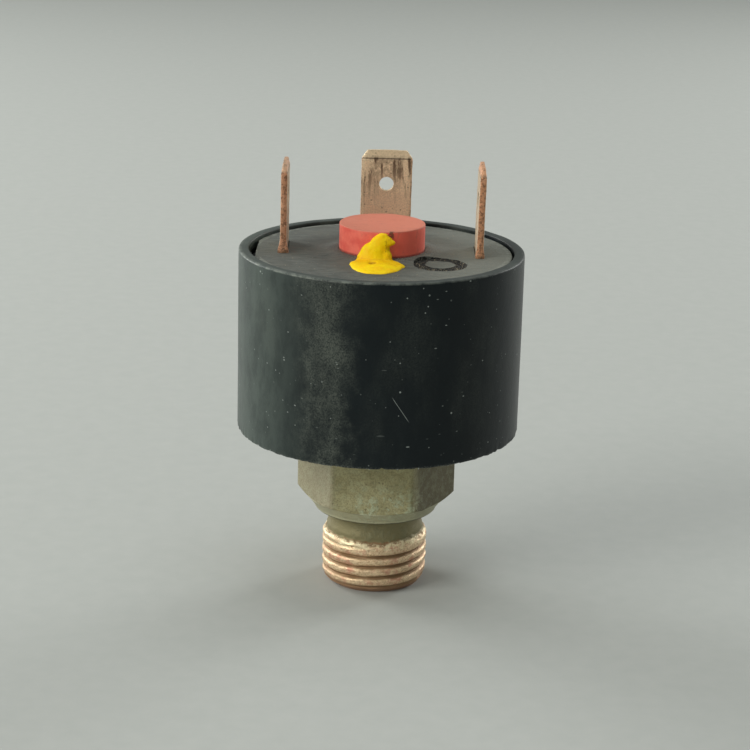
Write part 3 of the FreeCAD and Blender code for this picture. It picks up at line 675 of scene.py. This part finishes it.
PIT = (-1.05, -7.6)
PUDDLE_MIDDLE = (-0.55, -8.2)
LACQUER_DROPS = (
    # centre x, y, height above the cover, then the half lengths in x, y, z
    (-0.6, -7.5, 0.0, 3.1, 4.1, 0.5),
    (-0.7, -9.2, 0.0, 2.3, 2.4, 0.42),
    (1.3, -7.5, 0.0, 1.6, 1.3, 0.42),
    (-2.4, -7.0, 0.0, 1.4, 1.7, 0.44),
    (-0.95, -5.4, 0.3, 2.05, 1.2, 1.5),
    (-0.8, -5.35, 1.15, 1.75, 1.0, 1.3),
    (-0.2, -5.35, 2.1, 1.25, 0.8, 1.15),
    (0.05, -5.25, 2.75, 0.9, 0.6, 0.75),
    (0.75, -5.35, 2.4, 0.75, 0.5, 0.6),
    (0.4, -5.5, 0.75, 0.85, 0.85, 0.85),
)


def lacquer():
    """The drop of lacquer, whole: runs together, then sags and crusts."""
    whole = bmesh.new()
    for x, y, up, long, deep, tall in LACQUER_DROPS:
        place = Matrix.Translation((x, y, COVER_TOP + up)) @ Matrix.Diagonal((long, deep, tall, 1))
        bmesh.ops.create_uvsphere(whole, u_segments=32, v_segments=16, radius=1.0, matrix=place)
    thing = as_object(whole)
    melt = thing.modifiers.new("melt", "REMESH")
    melt.mode = "VOXEL"
    melt.voxel_size = 0.09
    bpy.context.view_layer.update()
    shape = as_shape(thing)
    for _ in range(18):
        bmesh.ops.smooth_vert(shape, verts=shape.verts, factor=0.5, use_axis_x=True,
                              use_axis_y=True, use_axis_z=True)

    def crust(place):
        height = place.z - COVER_TOP
        crater = math.exp(-((place.x - PIT[0]) ** 2 + ((place.y - PIT[1]) / 1.5) ** 2) / 0.16)
        skin = 0.06 * waver(place, 1.3, 51) + 0.02 * waver(place, 0.4, 53)
        ragged = min(1.0, max(0.0, place.x / 0.5)) * min(1.0, max(0.0, height - 0.8))
        ragged *= 0.3 * waver(place, 0.55, 55)
        outline = 0.14 * waver(place, 1.8, 57) + 0.05 * waver(place, 0.6, 59)
        away = Vector((place.x - PUDDLE_MIDDLE[0], place.y - PUDDLE_MIDDLE[1], 0))
        spread = away.normalized() * outline
        return spread * (1 if height < 0.5 else 0.3) + Vector((
            ragged, -skin, 0.6 * skin - 0.32 * crater
        ))

    return ruffle(shape, crust)


def lacquer_pieces():
    """The lacquer broken round the cap: what stays on the cover, what lifts."""
    top = COVER_TOP
    above = block((0, -8, top + 2.515), (14, 12, 5), (0, 0, 0))
    whole = combined(lacquer(), "INTERSECT", above)
    whole = combined(whole, "DIFFERENCE", drum(CAP_R + 0.015, top - 1, top + 9, around=192))
    copy = whole.copy()
    puddle = combined(whole, "DIFFERENCE", drum(SEAL_SPLIT_R + 0.02, top - 1, top + 9, around=192))
    run = combined(copy, "INTERSECT", drum(SEAL_SPLIT_R, BOSS_TOP + 0.03, top + 9, around=192))
    return puddle, run


# -------------------------------------------------------------- what repeats
def scatter_tree(name):
    """Geometry Nodes: crumbs strewn over a surface.

    Inputs: how many to a square metre, the least and greatest size in metres,
    the seed and the material.
    """
    tree = bpy.data.node_groups.new(name, "GeometryNodeTree")
    face = tree.interface
    face.new_socket("Geometry", in_out="OUTPUT", socket_type="NodeSocketGeometry")
    for title, kind in (
        ("Surface", "NodeSocketGeometry"), ("Crowding", "NodeSocketFloat"),
        ("Least", "NodeSocketFloat"), ("Greatest", "NodeSocketFloat"),
        ("Flatness", "NodeSocketFloat"), ("Seed", "NodeSocketInt"),
        ("Material", "NodeSocketMaterial"),
    ):
        face.new_socket(title, in_out="INPUT", socket_type=kind)
    made = {}

    def add(key, kind, **feeds):
        item = made[key] = tree.nodes.new(kind)
        for socket, source in feeds.items():
            target = item.inputs[socket.replace("_", " ")]
            if isinstance(source, bpy.types.NodeSocket):
                tree.links.new(source, target)
            else:
                target.default_value = source
        return item

    given = add("given", "NodeGroupInput").outputs
    points = add("points", "GeometryNodeDistributePointsOnFaces", Mesh=given["Surface"],
                 Density=given["Crowding"], Seed=given["Seed"])
    crumb = add("crumb", "GeometryNodeMeshIcoSphere", Radius=1.0, Subdivisions=1)
    spin = add("spin", "FunctionNodeRandomValue", Seed=given["Seed"])
    spin.data_type = "FLOAT_VECTOR"
    vectors = [s for s in spin.inputs if s.type == "VECTOR"]
    vectors[1].default_value = (6.28, 6.28, 6.28)
    size = add("size", "FunctionNodeRandomValue", Seed=given["Seed"])
    size.data_type = "FLOAT"
    numbers = [s for s in size.inputs if s.type == "VALUE"]
    tree.links.new(given["Least"], numbers[0])
    tree.links.new(given["Greatest"], numbers[1])
    amount = next(s for s in size.outputs if s.type == "VALUE")
    flat = add("flat", "ShaderNodeCombineXYZ", X=1.0, Y=0.75, Z=given["Flatness"])
    shape = add("shape", "ShaderNodeVectorMath")
    shape.operation = "SCALE"
    tree.links.new(flat.outputs[0], shape.inputs[0])
    tree.links.new(amount, shape.inputs["Scale"])
    strewn = add("strewn", "GeometryNodeInstanceOnPoints", Points=points.outputs["Points"],
                 Instance=crumb.outputs["Mesh"], Scale=shape.outputs[0],
                 Rotation=next(s for s in spin.outputs if s.type == "VECTOR"))
    solid = add("solid", "GeometryNodeRealizeInstances", Geometry=strewn.outputs["Instances"])
    coat = add("coat", "GeometryNodeSetMaterial", Geometry=solid.outputs["Geometry"],
               Material=given["Material"])
    add("result", "NodeGroupOutput", Geometry=coat.outputs["Geometry"])
    return tree


def strewn(name, ground, tree, body, slot, **inputs):
    """Crumbs over a ground shape, baked to a mesh that rides on a body."""
    bmesh.ops.scale(ground, vec=(MM,) * 3, verts=ground.verts)
    thing = as_object(ground)
    modifier = thing.modifiers.new("crumbs", "NODES")
    modifier.node_group = tree
    sockets = {item.name: item.identifier for item in tree.interface.items_tree}
    for title, value in inputs.items():
        modifier[sockets[title]] = value
    bpy.context.view_layer.update()
    mesh = bpy.data.meshes.new_from_object(
        thing.evaluated_get(bpy.context.evaluated_depsgraph_get())
    )
    bpy.data.meshes.remove(thing.data)
    for polygon in mesh.polygons:
        polygon.use_smooth = False
    piece = bpy.data.objects.new(name, mesh)
    bpy.context.collection.objects.link(piece)
    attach(piece, body)
    return piece


def band(inner, outer, z, start=0.0, sweep=360.0, x=0.0, y=0.0, steps=48):
    """A flat ring or arc of ring, to strew crumbs over."""
    shape = bmesh.new()
    spokes = []
    for step in range(steps + 1):
        angle = math.radians(start + sweep * step / steps)
        across, along = math.cos(angle), math.sin(angle)
        spokes.append([
            shape.verts.new((x + r * across, y + r * along, z)) for r in (inner, outer)
        ])
    for one, two in zip(spokes, spokes[1:]):
        shape.faces.new([one[0], one[1], two[1], two[0]])
    return shape


# -------------------------------------------------------------------- finishes
def case_black():
    """Black moulded plastic, handled: dust haze, specks, scratches, pale edges, and painted
    highlight on the left.
    """
    f = Finish("case_black")
    fine = f.cloud(0.2, 5.0, 0.8)
    haze = f.cloud(5.0, 5.0, 0.6, stretch=(1, 1, 0.45)).rise(0.45, 0.75)
    sway = (f.cloud(3.5, 4.0, 0.65, shift=(2, 6, 3)) - 0.5) * 9
    stripe = (f.x + sway).within(-6.6, -5.6, 3.6) * f.y.rise(4.0, -8.0)
    patchy = f.cloud(2.2, 5.0, 0.7, stretch=(1, 1, 0.5), shift=(4, 4, 4)).rise(0.34, 0.62)
    dust = (stripe * (0.3 + 0.7 * patchy) + haze * 0.3) * fine.rise(0.3, 0.66)
    # Paler film over the left side and patchily at the back: partly dust, partly painted highlight
    # from the left.
    dust_film_and_sheen = f.x.rise(-6.0, -15.0).peak(f.y.rise(3.0, 14.0) * haze) * (0.6 + 0.4 * patchy)
    body = f.mix(f.cloud(3.0, 2.0), tint(10, 19, 22), tint(17, 26, 29))
    body = f.mix(dust_film_and_sheen * 0.75, body, tint(84, 94, 88))
    dusty = f.mix(dust * 0.6, body, tint(104, 110, 100))
    specks = f.spots(0.5, 0.03, 0.3) + f.spots(0.3, 0.02, 0.36, shift=(3, 1, 2))
    nicks = f.spots(0.5, 0.05, 0.2, stretch=(0.3, 1, 1), turn=(25, 40, 20))
    nicks = nicks + f.spots(0.45, 0.05, 0.2, stretch=(0.25, 1, 1), turn=(-30, -55, 60))
    crowd = f.cloud(5.0, 3.0, 0.6, shift=(1, 9, 4)).rise(0.4, 0.62)
    corner = f.x.within(3.5, 8.5, 3.0) * f.z.within(37.5, 41.0, 2.5) * f.y.rise(0.0, -4.0)
    crowd = crowd.peak(corner)
    line = (f.x * 1.5 + f.z).within(31.18, 31.24, 0.06) * f.x.within(1.9, 3.3, 0.4)
    line = line * f.y.rise(0.0, -2.0)
    rubs = f.spots(0.8, 0.08, 0.16, stretch=(0.2, 1, 1), turn=(10, 12, 80))
    rubs = (rubs + f.spots(0.6, 0.1, 0.14, stretch=(0.22, 1, 1), turn=(0, -70, 15))) * 0.35
    marks = ((specks + nicks) * crowd).peak(line * 0.8).peak(rubs * haze.peak(stripe))
    scratched = f.mix(marks * 0.7, dusty, tint(170, 178, 172))
    rim = f.z.rise(CASE_HIGH.z - 0.3, CASE_HIGH.z - 0.14) * f.radius.within(16.9, 17.3, 0.15)
    worn = rim * f.cloud(1.1, 5.0, 0.75, shift=(2, 2, 2)).rise(0.36, 0.62)
    # Stronger towards -x: the pale rim edge is partly wear, partly painted highlight on the lit
    # left side.
    worn = worn * (0.35 + 0.65 * f.x.rise(9.0, -6.0))
    foot = f.z.rise(CASE_LOW.z + 0.35, CASE_LOW.z + 0.05) * fine.rise(0.45, 0.6)
    edged = f.mix(worn * 0.75 + foot * 0.35, scratched, tint(136, 142, 132))
    top = f.z.rise(CASE_HIGH.z - 0.2, CASE_HIGH.z - 0.02)
    colour = f.mix(top * 0.55, edged, f.mix(fine, tint(52, 60, 59), tint(98, 104, 98)))
    rough = 0.3 + 0.28 * dust + 0.12 * fine + 0.25 * top
    relief = f.cloud(0.22, 3.0) * 0.4 + f.cloud(1.4, 2.0) + marks * 0.5
    return f.surface(
        Base_Color=colour, Roughness=rough, Normal=f.bump(relief, 0.02), Specular_IOR_Level=0.22
    )


def cover_dust():
    """Matt grey phenolic with drag lines, grit in its corners and soft dirt; painted light on its
    right, painted shade below its face.
    """
    f = Finish("cover_dust")
    drag = f.cloud(0.3, 4.0, 0.7, stretch=(0.16, 1.4, 1.0), turn=(0, 0, 8))
    fine = f.cloud(0.16, 3.0, 0.7)
    broad = f.cloud(4.0, 3.0)
    base = f.mix(drag.rise(0.3, 0.7), tint(56, 61, 57), tint(98, 102, 95))
    base = f.mix(broad.rise(0.35, 0.7) * 0.5, base, tint(84, 84, 74))
    # Paler towards +x: painted light on the cover's right side.
    base = f.mix(f.x.rise(0.0, 11.0) * 0.42, base, tint(132, 136, 124))
    near_cap = f.radius.within(4.9, 5.9, 1.3)
    right = f.x.rise(1.0, 9.0)
    crumbs = fine.rise(0.54, 0.64) * (near_cap * 0.8 + right * 0.3 + 0.12)
    gritty = f.mix(crumbs * 0.8, base, tint(152, 142, 122))
    here = f.placed(shift=(-MARK_PLACE[0], -MARK_PLACE[1], 0))
    here_x = f.node("ShaderNodeSeparateXYZ", {}, here, out="X")
    here_y = f.node("ShaderNodeSeparateXYZ", {}, here, out="Y")
    from_mark = (here_x * here_x + here_y * here_y) ** 0.5
    wobble = f.cloud(0.7, 4.0, 0.7) - 0.5
    ring = (from_mark + wobble * 1.1).within(MARK_R - MARK_WIDTH, MARK_R - 0.05, 0.12)
    tan = f.cloud(0.3, 4.0, 0.7, shift=(4, 4, 4)).rise(0.55, 0.62)
    back_of_ring = here_y.rise(-0.6, 1.2)
    tan = tan * (1 - back_of_ring * 0.85)
    marked = f.mix(ring, gritty, f.mix(tan * 0.8, tint(12, 14, 14), tint(150, 140, 112)))
    edge = f.radius.within(15.05, 15.6, 0.12) * f.cloud(0.9, 4.0, 0.7).rise(0.42, 0.58)
    lined = f.mix(edge * 0.5, marked, tint(140, 144, 134))
    # Near black on every face below the top (slot and notch walls, the cap well, the outer edge):
    # painted shade in the recesses.
    deep = f.z.rise(COVER_TOP - 0.02, COVER_TOP - 0.15)
    colour = f.mix(deep * (1 - ring), lined, tint(22, 25, 25))
    relief = drag * 0.6 + fine * 0.5 + crumbs + ring * f.cloud(0.25, 3.0, 0.7) * 2.5
    return f.surface(
        Base_Color=colour, Roughness=0.62 + 0.2 * fine, Normal=f.bump(relief, 0.05)
    )


def fitting_brass():
    """Old brass: olive on the hexagon, painted light on its left flats and painted shade on its
    right, pale bloom, coppery worn thread.
    """
    f = Finish("fitting_brass")
    fine = f.cloud(0.22, 4.0, 0.75)
    broad = f.cloud(3.2, 4.0, 0.6)
    pits = f.spots(0.5, 0.3, 0.3) * broad.rise(0.35, 0.6)
    olive = f.mix(broad.rise(0.3, 0.7), tint(152, 145, 106), tint(186, 178, 136))
    # Painted light on the hexagon's left flats, painted shade on its right ones.
    lit_left = f.x.rise(-4.6, -5.6)
    right = f.x.rise(4.0, 5.6)
    hexagon = f.mix(lit_left * 0.7, olive, tint(160, 152, 130))
    hexagon = f.mix(right * 0.9, hexagon, tint(82, 75, 58))
    speckled = f.mix(fine.rise(0.42, 0.62) * 0.45, hexagon, tint(104, 98, 64))
    speckled = f.mix(pits * 0.55, speckled, tint(88, 78, 48))
    low = f.z.rise(15.5, 12.0)
    bloom = f.cloud(0.9, 5.0, 0.75, shift=(5, 1, 0)).rise(0.46, 0.6)
    bloom = bloom * low * f.x.within(-1.0, 3.6, 2.5) + bloom * 0.18
    patina = f.mix(bloom * 0.7, speckled, tint(196, 204, 172))
    band = f.z.within(9.75, 11.2, 0.12) * f.radius.within(7.4, 9.0, 0.1)
    banded = f.mix(band * (0.35 + 0.4 * fine), patina, tint(200, 198, 168))
    seam = f.z.within(9.58, 9.72, 0.06).peak(f.radius.within(7.3, 7.5, 0.06) * band)
    neck = f.z.within(6.4, 9.55, 0.1)
    necked = f.mix(neck * 0.85, banded, f.mix(fine, tint(108, 102, 70), tint(150, 140, 102)))
    ragged = f.cloud(0.6, 4.0, 0.7) - 0.5
    worn = (f.z + ragged * 0.9).rise(6.85, 6.6)
    copper = f.mix(fine.rise(0.35, 0.65), tint(204, 172, 134), tint(245, 218, 180))
    pink = f.mix(f.cloud(1.6, 3.0, shift=(9, 0, 3)).rise(0.5, 0.66), copper, tint(214, 160, 132))
    crest = f.radius.rise(6.2, 6.45)
    grooves = f.mix(crest, tint(148, 118, 84), pink)
    glint = f.cloud(0.6, 4.0, 0.7, stretch=(1, 1, 2.4)).rise(0.48, 0.66)
    bright = f.mix(crest * glint * 0.7, grooves, tint(250, 228, 188))
    lip = f.z.within(5.9, 6.7, 0.25) * f.cloud(0.8, 4.0, 0.75, shift=(3, 3, 3)).rise(0.42, 0.56)
    bright = f.mix(lip * f.radius.rise(6.02, 6.2) * 0.85, bright, tint(252, 238, 198))
    end = f.z.rise(1.1, 0.2)
    bright = f.mix(end * 0.6, bright, tint(196, 150, 124))
    colour = f.mix(worn, necked, bright)
    colour = f.mix(seam * 0.75, colour, tint(38, 36, 22))
    shadow = f.z.rise(19.2, 20.1)
    colour = f.mix(shadow * 0.5, colour, tint(60, 52, 34))
    rough = 0.42 + 0.25 * fine + 0.15 * bloom - 0.1 * worn * crest
    relief = fine * 0.7 + pits * -1.0 + bloom * 0.8
    return f.surface(
        Base_Color=colour, Metallic=0.45 + 0.2 * worn * crest, Roughness=rough,
        Normal=f.bump(relief, 0.05),
    )


def tab_finish(name, node, face, edge, streaks):
    """Tinned copper tab: dull broad faces, coppery edges, brown streaks."""
    f = Finish(name)
    centre, size = tab_box(node, COVER_TOP, low_high(node)[1].z, 0.0)
    along_x = size.x > size.y
    broad, thin = (f.x, f.y) if along_x else (f.y, f.x)
    middle = centre.x if along_x else centre.y
    fine = f.cloud(0.2, 4.0, 0.75)
    place = (1, 1, 0.16)
    stain = f.cloud(0.75, 4.0, 0.7, stretch=place).rise(0.46, 0.6)
    middle_stain = (broad - middle).within(-1.7, 1.5, 0.8) * f.cloud(0.5, 3.0, 0.7).rise(0.3, 0.6)
    stain = stain.peak(middle_stain * 0.55)
    top = low_high(node)[1].z
    reach = f.z.within(top - 7.5, top - 1.1, 0.5) * f.z.rise(top - 8.5, top - 1.0)
    plain = f.mix(fine.rise(0.35, 0.68), face, tuple(c * 0.72 for c in face))
    plain = f.mix(f.spots(0.45, 0.3, 0.32) * 0.5, plain, tint(78, 66, 50))
    stained = f.mix(stain * reach * streaks, plain, tint(92, 70, 50))
    lead = f.z.rise(top - LEAD_IN + 0.06, top - LEAD_IN + 0.16)
    stained = f.mix(lead * 0.45 * streaks, stained, tint(196, 180, 148))
    line = f.z.within(top - LEAD_IN - 0.06, top - LEAD_IN + 0.06, 0.05)
    stained = f.mix(line * 0.65, stained, tint(56, 44, 32))
    side = abs(broad - middle).rise(2.95, 3.1)
    spotted = f.mix(f.cloud(0.4, 4.0, 0.7).rise(0.48, 0.58) * 0.75, edge, tint(118, 84, 60))
    glow = f.cloud(0.6, 2.0, shift=(8, 8, 8)).rise(0.55, 0.7)
    shine = f.mix(glow * 0.6, spotted, tint(232, 176, 138))
    colour = f.mix(side.peak(lead * (1 - streaks) * 1.3), stained, shine)
    foot = f.z.rise(COVER_TOP + 1.5, COVER_TOP + 0.1) * fine.rise(0.35, 0.6)
    colour = f.mix(foot * 0.55, colour, tint(92, 80, 62))
    rough = 0.4 + 0.2 * fine + 0.15 * stain
    relief = fine + f.cloud(0.7, 3.0) * 0.6
    return f.surface(
        Base_Color=colour, Metallic=0.35, Roughness=rough, Normal=f.bump(relief, 0.05)
    )


def cap_red():
    """Soft red plastic: faded top, dirt at the base, a stain by the lacquer."""
    f = Finish("cap_red")
    fine = f.cloud(0.25, 3.0, 0.7)
    side = f.mix(f.cloud(1.5, 3.0).rise(0.3, 0.7), tint(228, 92, 78), tint(244, 120, 100))
    lit = f.x.rise(0.5, 2.5) * f.y.rise(0.0, -3.0)
    side = f.mix(lit * 0.75, side, tint(252, 112, 92))
    top = f.z.rise(CAP_TOP - 0.16, CAP_TOP - 0.03)
    faded = f.mix(top * 0.9, side, f.mix(fine, tint(192, 112, 88), tint(206, 130, 106)))
    dirt = f.z.rise(BOSS_TOP + 0.3, BOSS_TOP + 0.05) * fine.rise(0.2, 0.5)
    dirty = f.mix(dirt * 0.7, faded, tint(84, 40, 34))
    wobble = (f.cloud(0.6, 3.0, 0.7) - 0.5) * 1.6
    level = f.z + wobble * 0.5
    spot = (f.x + wobble).within(1.0, 1.35, 0.25) * level.within(CAP_TOP - 0.6, 50, 0.3)
    spot = spot * f.y.rise(-4.5, -4.9)
    stained = f.mix(spot * 0.8, dirty, tint(84, 58, 34))
    smears = f.cloud(1.1, 4.0, 0.7, stretch=(1, 1, 0.6), shift=(0, 0, 5)).rise(0.54, 0.68)
    colour = f.mix(smears * 0.3, stained, tint(170, 98, 84))
    return f.surface(
        Base_Color=colour, Roughness=0.5 + 0.15 * fine, Normal=f.bump(fine, 0.015),
        Subsurface_Weight=0.06, Subsurface_Radius=(0.001, 0.0003, 0.0002),
    )


def lacquer_yellow():
    """Thick yellow sealing lacquer, with ochre dirt in its hollows."""
    f = Finish("lacquer_yellow")
    fine = f.cloud(0.3, 4.0, 0.7)
    base = f.mix(f.cloud(1.2, 3.0).rise(0.35, 0.7), tint(255, 220, 0), tint(255, 204, 0))
    dark = f.cloud(0.45, 4.0, 0.75, shift=(3, 7, 1)).rise(0.6, 0.7)
    edge = f.x.within(0.4, 1.7, 0.3) * f.z.rise(COVER_TOP + 0.6, COVER_TOP + 1.2)
    flecked = f.mix(dark * (0.25 + 0.6 * edge), base, tint(150, 88, 24))
    seam = f.z.within(COVER_TOP + 0.34, COVER_TOP + 0.62, 0.08) * f.y.rise(-9.0, -8.0)
    creased = f.mix(seam * 0.3, flecked, tint(214, 142, 8))
    from_pit = ((f.x - PIT[0]) ** 2 + ((f.y - PIT[1]) * 0.7) ** 2) ** 0.5
    pit = (from_pit + (fine - 0.5) * 0.5).rise(0.55, 0.3)
    colour = f.mix(pit * 0.75, creased, tint(176, 124, 14))
    return f.surface(
        Base_Color=colour, Roughness=0.42 + 0.2 * fine, Normal=f.bump(fine, 0.05),
        Specular_IOR_Level=0.2,
    )


def crumb(name, first, second, rough=0.8):
    """Loose grit and burrs."""
    f = Finish(name)
    colour = f.mix(f.cloud(0.3, 2.0).rise(0.35, 0.65), first, second)
    return f.surface(Base_Color=colour, Roughness=rough)


def metal(name, first, second, rough, grain=(1, 1, 1), stain=0.3):
    """Plain worked metal: a little grain, uneven dulling."""
    f = Finish(name)
    lines = f.cloud(0.25, 4.0, 0.7, stretch=grain)
    dull = f.cloud(1.8, 4.0, 0.65)
    colour = f.mix(dull.rise(0.35, 0.68), first, second)
    darker = tuple(c * 0.45 for c in second)
    colour = f.mix(lines.rise(0.52, 0.7) * stain, colour, darker)
    return f.surface(
        Base_Color=colour, Metallic=0.9, Roughness=rough + 0.18 * dull,
        Normal=f.bump(lines, 0.02),
    )


def moulded(name, first, second, rough, grain=0.4, depth=0.03):
    """Plain moulded plastic or rubber: mottled, with a fine skin."""
    f = Finish(name)
    fine = f.cloud(grain, 3.0, 0.65)
    colour = f.mix(f.cloud(2.4, 4.0, 0.6).rise(0.32, 0.68), first, second)
    colour = f.mix(f.spots(0.5, 0.2, 0.3) * 0.25, colour, tuple(c * 0.5 for c in first))
    return f.surface(
        Base_Color=colour, Roughness=rough + 0.15 * fine, Normal=f.bump(fine, depth)
    )


# ---------------------------------------------------------------- the pieces
BLACK = case_black()
finished("case_moulding", case_moulding(), BLACK, "case", "housing_shell")
finished("cover_face", cover_face(), cover_dust(), "case", "cover_plate", crease=30)
finished("fitting", fitting(), fitting_brass(), "case", "port_fitting", crease=38)
TAN, COPPER = tint(214, 196, 166), tint(196, 142, 108)
TAB_SHAPES = {
    # The com tab's tints, paler than TAN and COPPER, are the same tin with painted light on it.
    "terminal_com": (
        "tab_com", dict(lean=0.05), tint(246, 222, 184), tint(196, 162, 126), 0.95
    ),
    "terminal_nc": ("tab_nc", dict(lean=0.05, foot=0.75, round_tip=0.25), TAN, COPPER, 0.5),
    "terminal_no": (
        "tab_no", dict(lean=0.12, foot=0.45, round_tip=0.25), TAN, tint(210, 152, 112), 0.35
    ),
}
for node, (name, shape, face, edge, streaks) in TAB_SHAPES.items():
    paint = tab_finish(name + "_tin", node, face, edge, streaks)
    finished(name, tab(node, **shape), paint, "case", node, crease=40)
finished("cap", cap(), cap_red(), "cap", "adjuster_cap")
YELLOW = lacquer_yellow()
puddle, run = lacquer_pieces()
finished("lacquer_puddle", puddle, YELLOW, "case", "seal_on_cover", crease=50)
finished("lacquer_run", run, YELLOW, "cap", "seal_on_cap", crease=50)

GRIT = crumb("grit", tint(168, 156, 132), tint(120, 108, 86))
DARK_GRIT = crumb("dark_grit", tint(30, 32, 30), tint(62, 60, 52))
BURR = crumb("burr", tint(176, 182, 176), tint(92, 98, 94), 0.5)
CRUMBS = scatter_tree("crumbs")
STREWN = (
    # name, ground, crumbs to a square mm, least and greatest size in mm, flatness, paint
    ("grit_by_cap", band(5.32, 5.8, BOSS_TOP, 200, 170), 5.0, 0.03, 0.1, 0.6, GRIT),
    ("grit_on_cover", band(7.6, 15.0, COVER_TOP, 0, 360), 0.26, 0.02, 0.08, 0.6, GRIT),
    ("grit_in_mark", band(1.95, 3.05, COVER_TOP - MARK_DEPTH, x=MARK_X, y=MARK_Y),
     12.0, 0.06, 0.17, 0.8, DARK_GRIT),
    ("tan_in_mark", band(2.2, MARK_R, COVER_TOP - 0.04, x=MARK_X, y=MARK_Y),
     3.0, 0.04, 0.1, 0.8, GRIT),
    ("burr_below", band(16.75, 17.15, CASE_LOW.z + 0.03), 3.2, 0.03, 0.13, 0.9, BURR),
)
for seed, (name, ground, crowd, least, greatest, flat, paint) in enumerate(STREWN):
    strewn(
        name, ground, CRUMBS, "case", "cover_plate" if "burr" not in name else "housing_shell",
        Crowding=crowd / MM ** 2, Least=least * MM, Greatest=greatest * MM, Flatness=flat,
        Seed=seed + 3, Material=paint,
    )

ZINC = metal("zinc_steel", tint(196, 192, 176), tint(168, 158, 128), 0.3, (1, 8, 1))
SPRING = metal("spring_steel", tint(170, 172, 174), tint(128, 130, 134), 0.26)
BRIGHT = metal("bright_steel", tint(205, 205, 204), tint(176, 178, 180), 0.2, (6, 1, 1), 0.2)
BRONZE = metal("spring_bronze", tint(206, 160, 104), tint(178, 128, 78), 0.3, (1, 10, 1))
SILVER = metal("silver_contact", tint(226, 224, 216), tint(188, 184, 172), 0.24)
SCREW = metal("screw_brass", tint(212, 178, 106), tint(180, 146, 84), 0.28)
COIL_END = 1.6  # how far in from each cut lie the two points passed with the body names
FOOT_SHARE = 0.3  # of the range spring's length, the share cut off as its lower piece


def coils(name, node, low, high, below, above):
    """The turns of a spring between two heights, cut out as a piece of their own."""
    shape = combined(cad_copy(node), "INTERSECT", drum(14, low, high))
    first, last = (Vector((0, 0, z)) * MM for z in (low + COIL_END, high - COIL_END))
    finished(name, shape, SPRING, (below, above, first, last), node, crease=40)


spring_low, spring_high = (corner.z for corner in low_high("range_spring"))
still = spring_low + FOOT_SHARE * (spring_high - spring_low)
coils("range_spring_foot", "range_spring", spring_low - 1, still, "plunger", "case")
coils("range_spring_top", "range_spring", still, spring_high + 1, "case", "seat")
return_low, return_high = (corner.z for corner in low_high("return_spring"))
coils("return_spring_turns", "return_spring", return_low - 1, return_high + 1, "lever", "case")
CAD_FINISHES = {
    "base_plate": ZINC,
    "clamp_ring": moulded("ring_nylon", tint(206, 200, 184), tint(188, 180, 160), 0.45),
    "fitting_gasket": moulded("gasket_fibre", tint(150, 84, 60), tint(122, 66, 48), 0.75, 0.2),
    "diaphragm": moulded("diaphragm_rubber", tint(28, 28, 30), tint(44, 42, 42), 0.62, 0.3),
    "thrust_plate": moulded("plunger_nylon", tint(222, 216, 198), tint(202, 194, 170), 0.4),
    "spring_seat": ZINC,
    "adjusting_screw": SCREW,
    "screw_clip": BRIGHT,
    "contact_carrier": moulded("carrier_phenolic", tint(74, 46, 30), tint(52, 34, 24), 0.42),
    "contact_nc": SILVER,
    "contact_no": SILVER,
    "contact_lever": BRONZE,
    "moving_contact": SILVER,
    "lever_pin": BRIGHT,
}
for node, paint in CAD_FINISHES.items():
    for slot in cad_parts[node].material_slots:
        slot.material = paint


# ------------------------------------------------------- floor, light, camera
def floor_grey():
    """A pale matt floor with a faint pebbling."""
    f = Finish("floor_grey")
    fine = f.cloud(2.5, 3.0)
    colour = f.mix(fine, tint(169, 173, 168), tint(178, 181, 176))
    return f.surface(Base_Color=colour, Roughness=0.75 + 0.1 * fine, Specular_IOR_Level=0.3)


ground = bmesh.new()
bmesh.ops.create_grid(ground, x_segments=2, y_segments=2, size=2.0)
floor = as_object(ground, "floor")
floor.name = "floor"
floor.data.materials.append(floor_grey())


def lamp(name, place, aim, size, watts, colour=(1, 1, 1)):
    """A soft rectangular lamp, placed and aimed in millimetres."""
    light = bpy.data.lights.new(name, "AREA")
    light.shape = "RECTANGLE"
    light.size, light.size_y = (side * MM for side in size)
    light.energy = watts
    light.color = colour
    holder = bpy.data.objects.new(name, light)
    bpy.context.collection.objects.link(holder)
    holder.location = Vector(place) * MM
    towards = (Vector(aim) - Vector(place)).normalized()
    holder.rotation_euler = towards.to_track_quat("-Z", "Y").to_euler()
    return holder


AIM = (0, 0, 25)
lamp("key_left", (-600, -370, 370), AIM, (420, 420), 3.5, (1.0, 0.99, 0.95))
lamp("back_left", (-570, 400, 290), AIM, (360, 420), 3.2)
lamp("back_right", (520, 470, 240), AIM, (200, 300), 2.1)
lamp("sky_above", (40, 60, 700), AIM, (500, 500), 1.3)
world = bpy.data.worlds.new("room")
world.use_nodes = True
world.node_tree.nodes["Background"].inputs["Color"].default_value = (0.9, 0.93, 0.9, 1)
world.node_tree.nodes["Background"].inputs["Strength"].default_value = 0.33
scene = bpy.context.scene
scene.world = world
scene.view_settings.view_transform = "Standard"

EYE = Vector((-0.43, -244.64, 99.94))
TILT = math.radians(16.75)
ROLL = math.radians(1.48)
LENS = 100.13
forward = Vector((0, math.cos(TILT), -math.sin(TILT)))
level = Vector((1, 0, 0))
upward = level.cross(forward)
across = level * math.cos(ROLL) + upward * math.sin(ROLL)
above = upward * math.cos(ROLL) - level * math.sin(ROLL)
lens = bpy.data.cameras.new("camera")
lens.sensor_width = 36.0
lens.lens = LENS
lens.clip_start = 0.01
camera = bpy.data.objects.new("camera", lens)
bpy.context.collection.objects.link(camera)
pose = Matrix((across, above, -forward)).transposed().to_4x4()
pose.translation = EYE * MM
camera.matrix_world = pose
scene.camera = camera
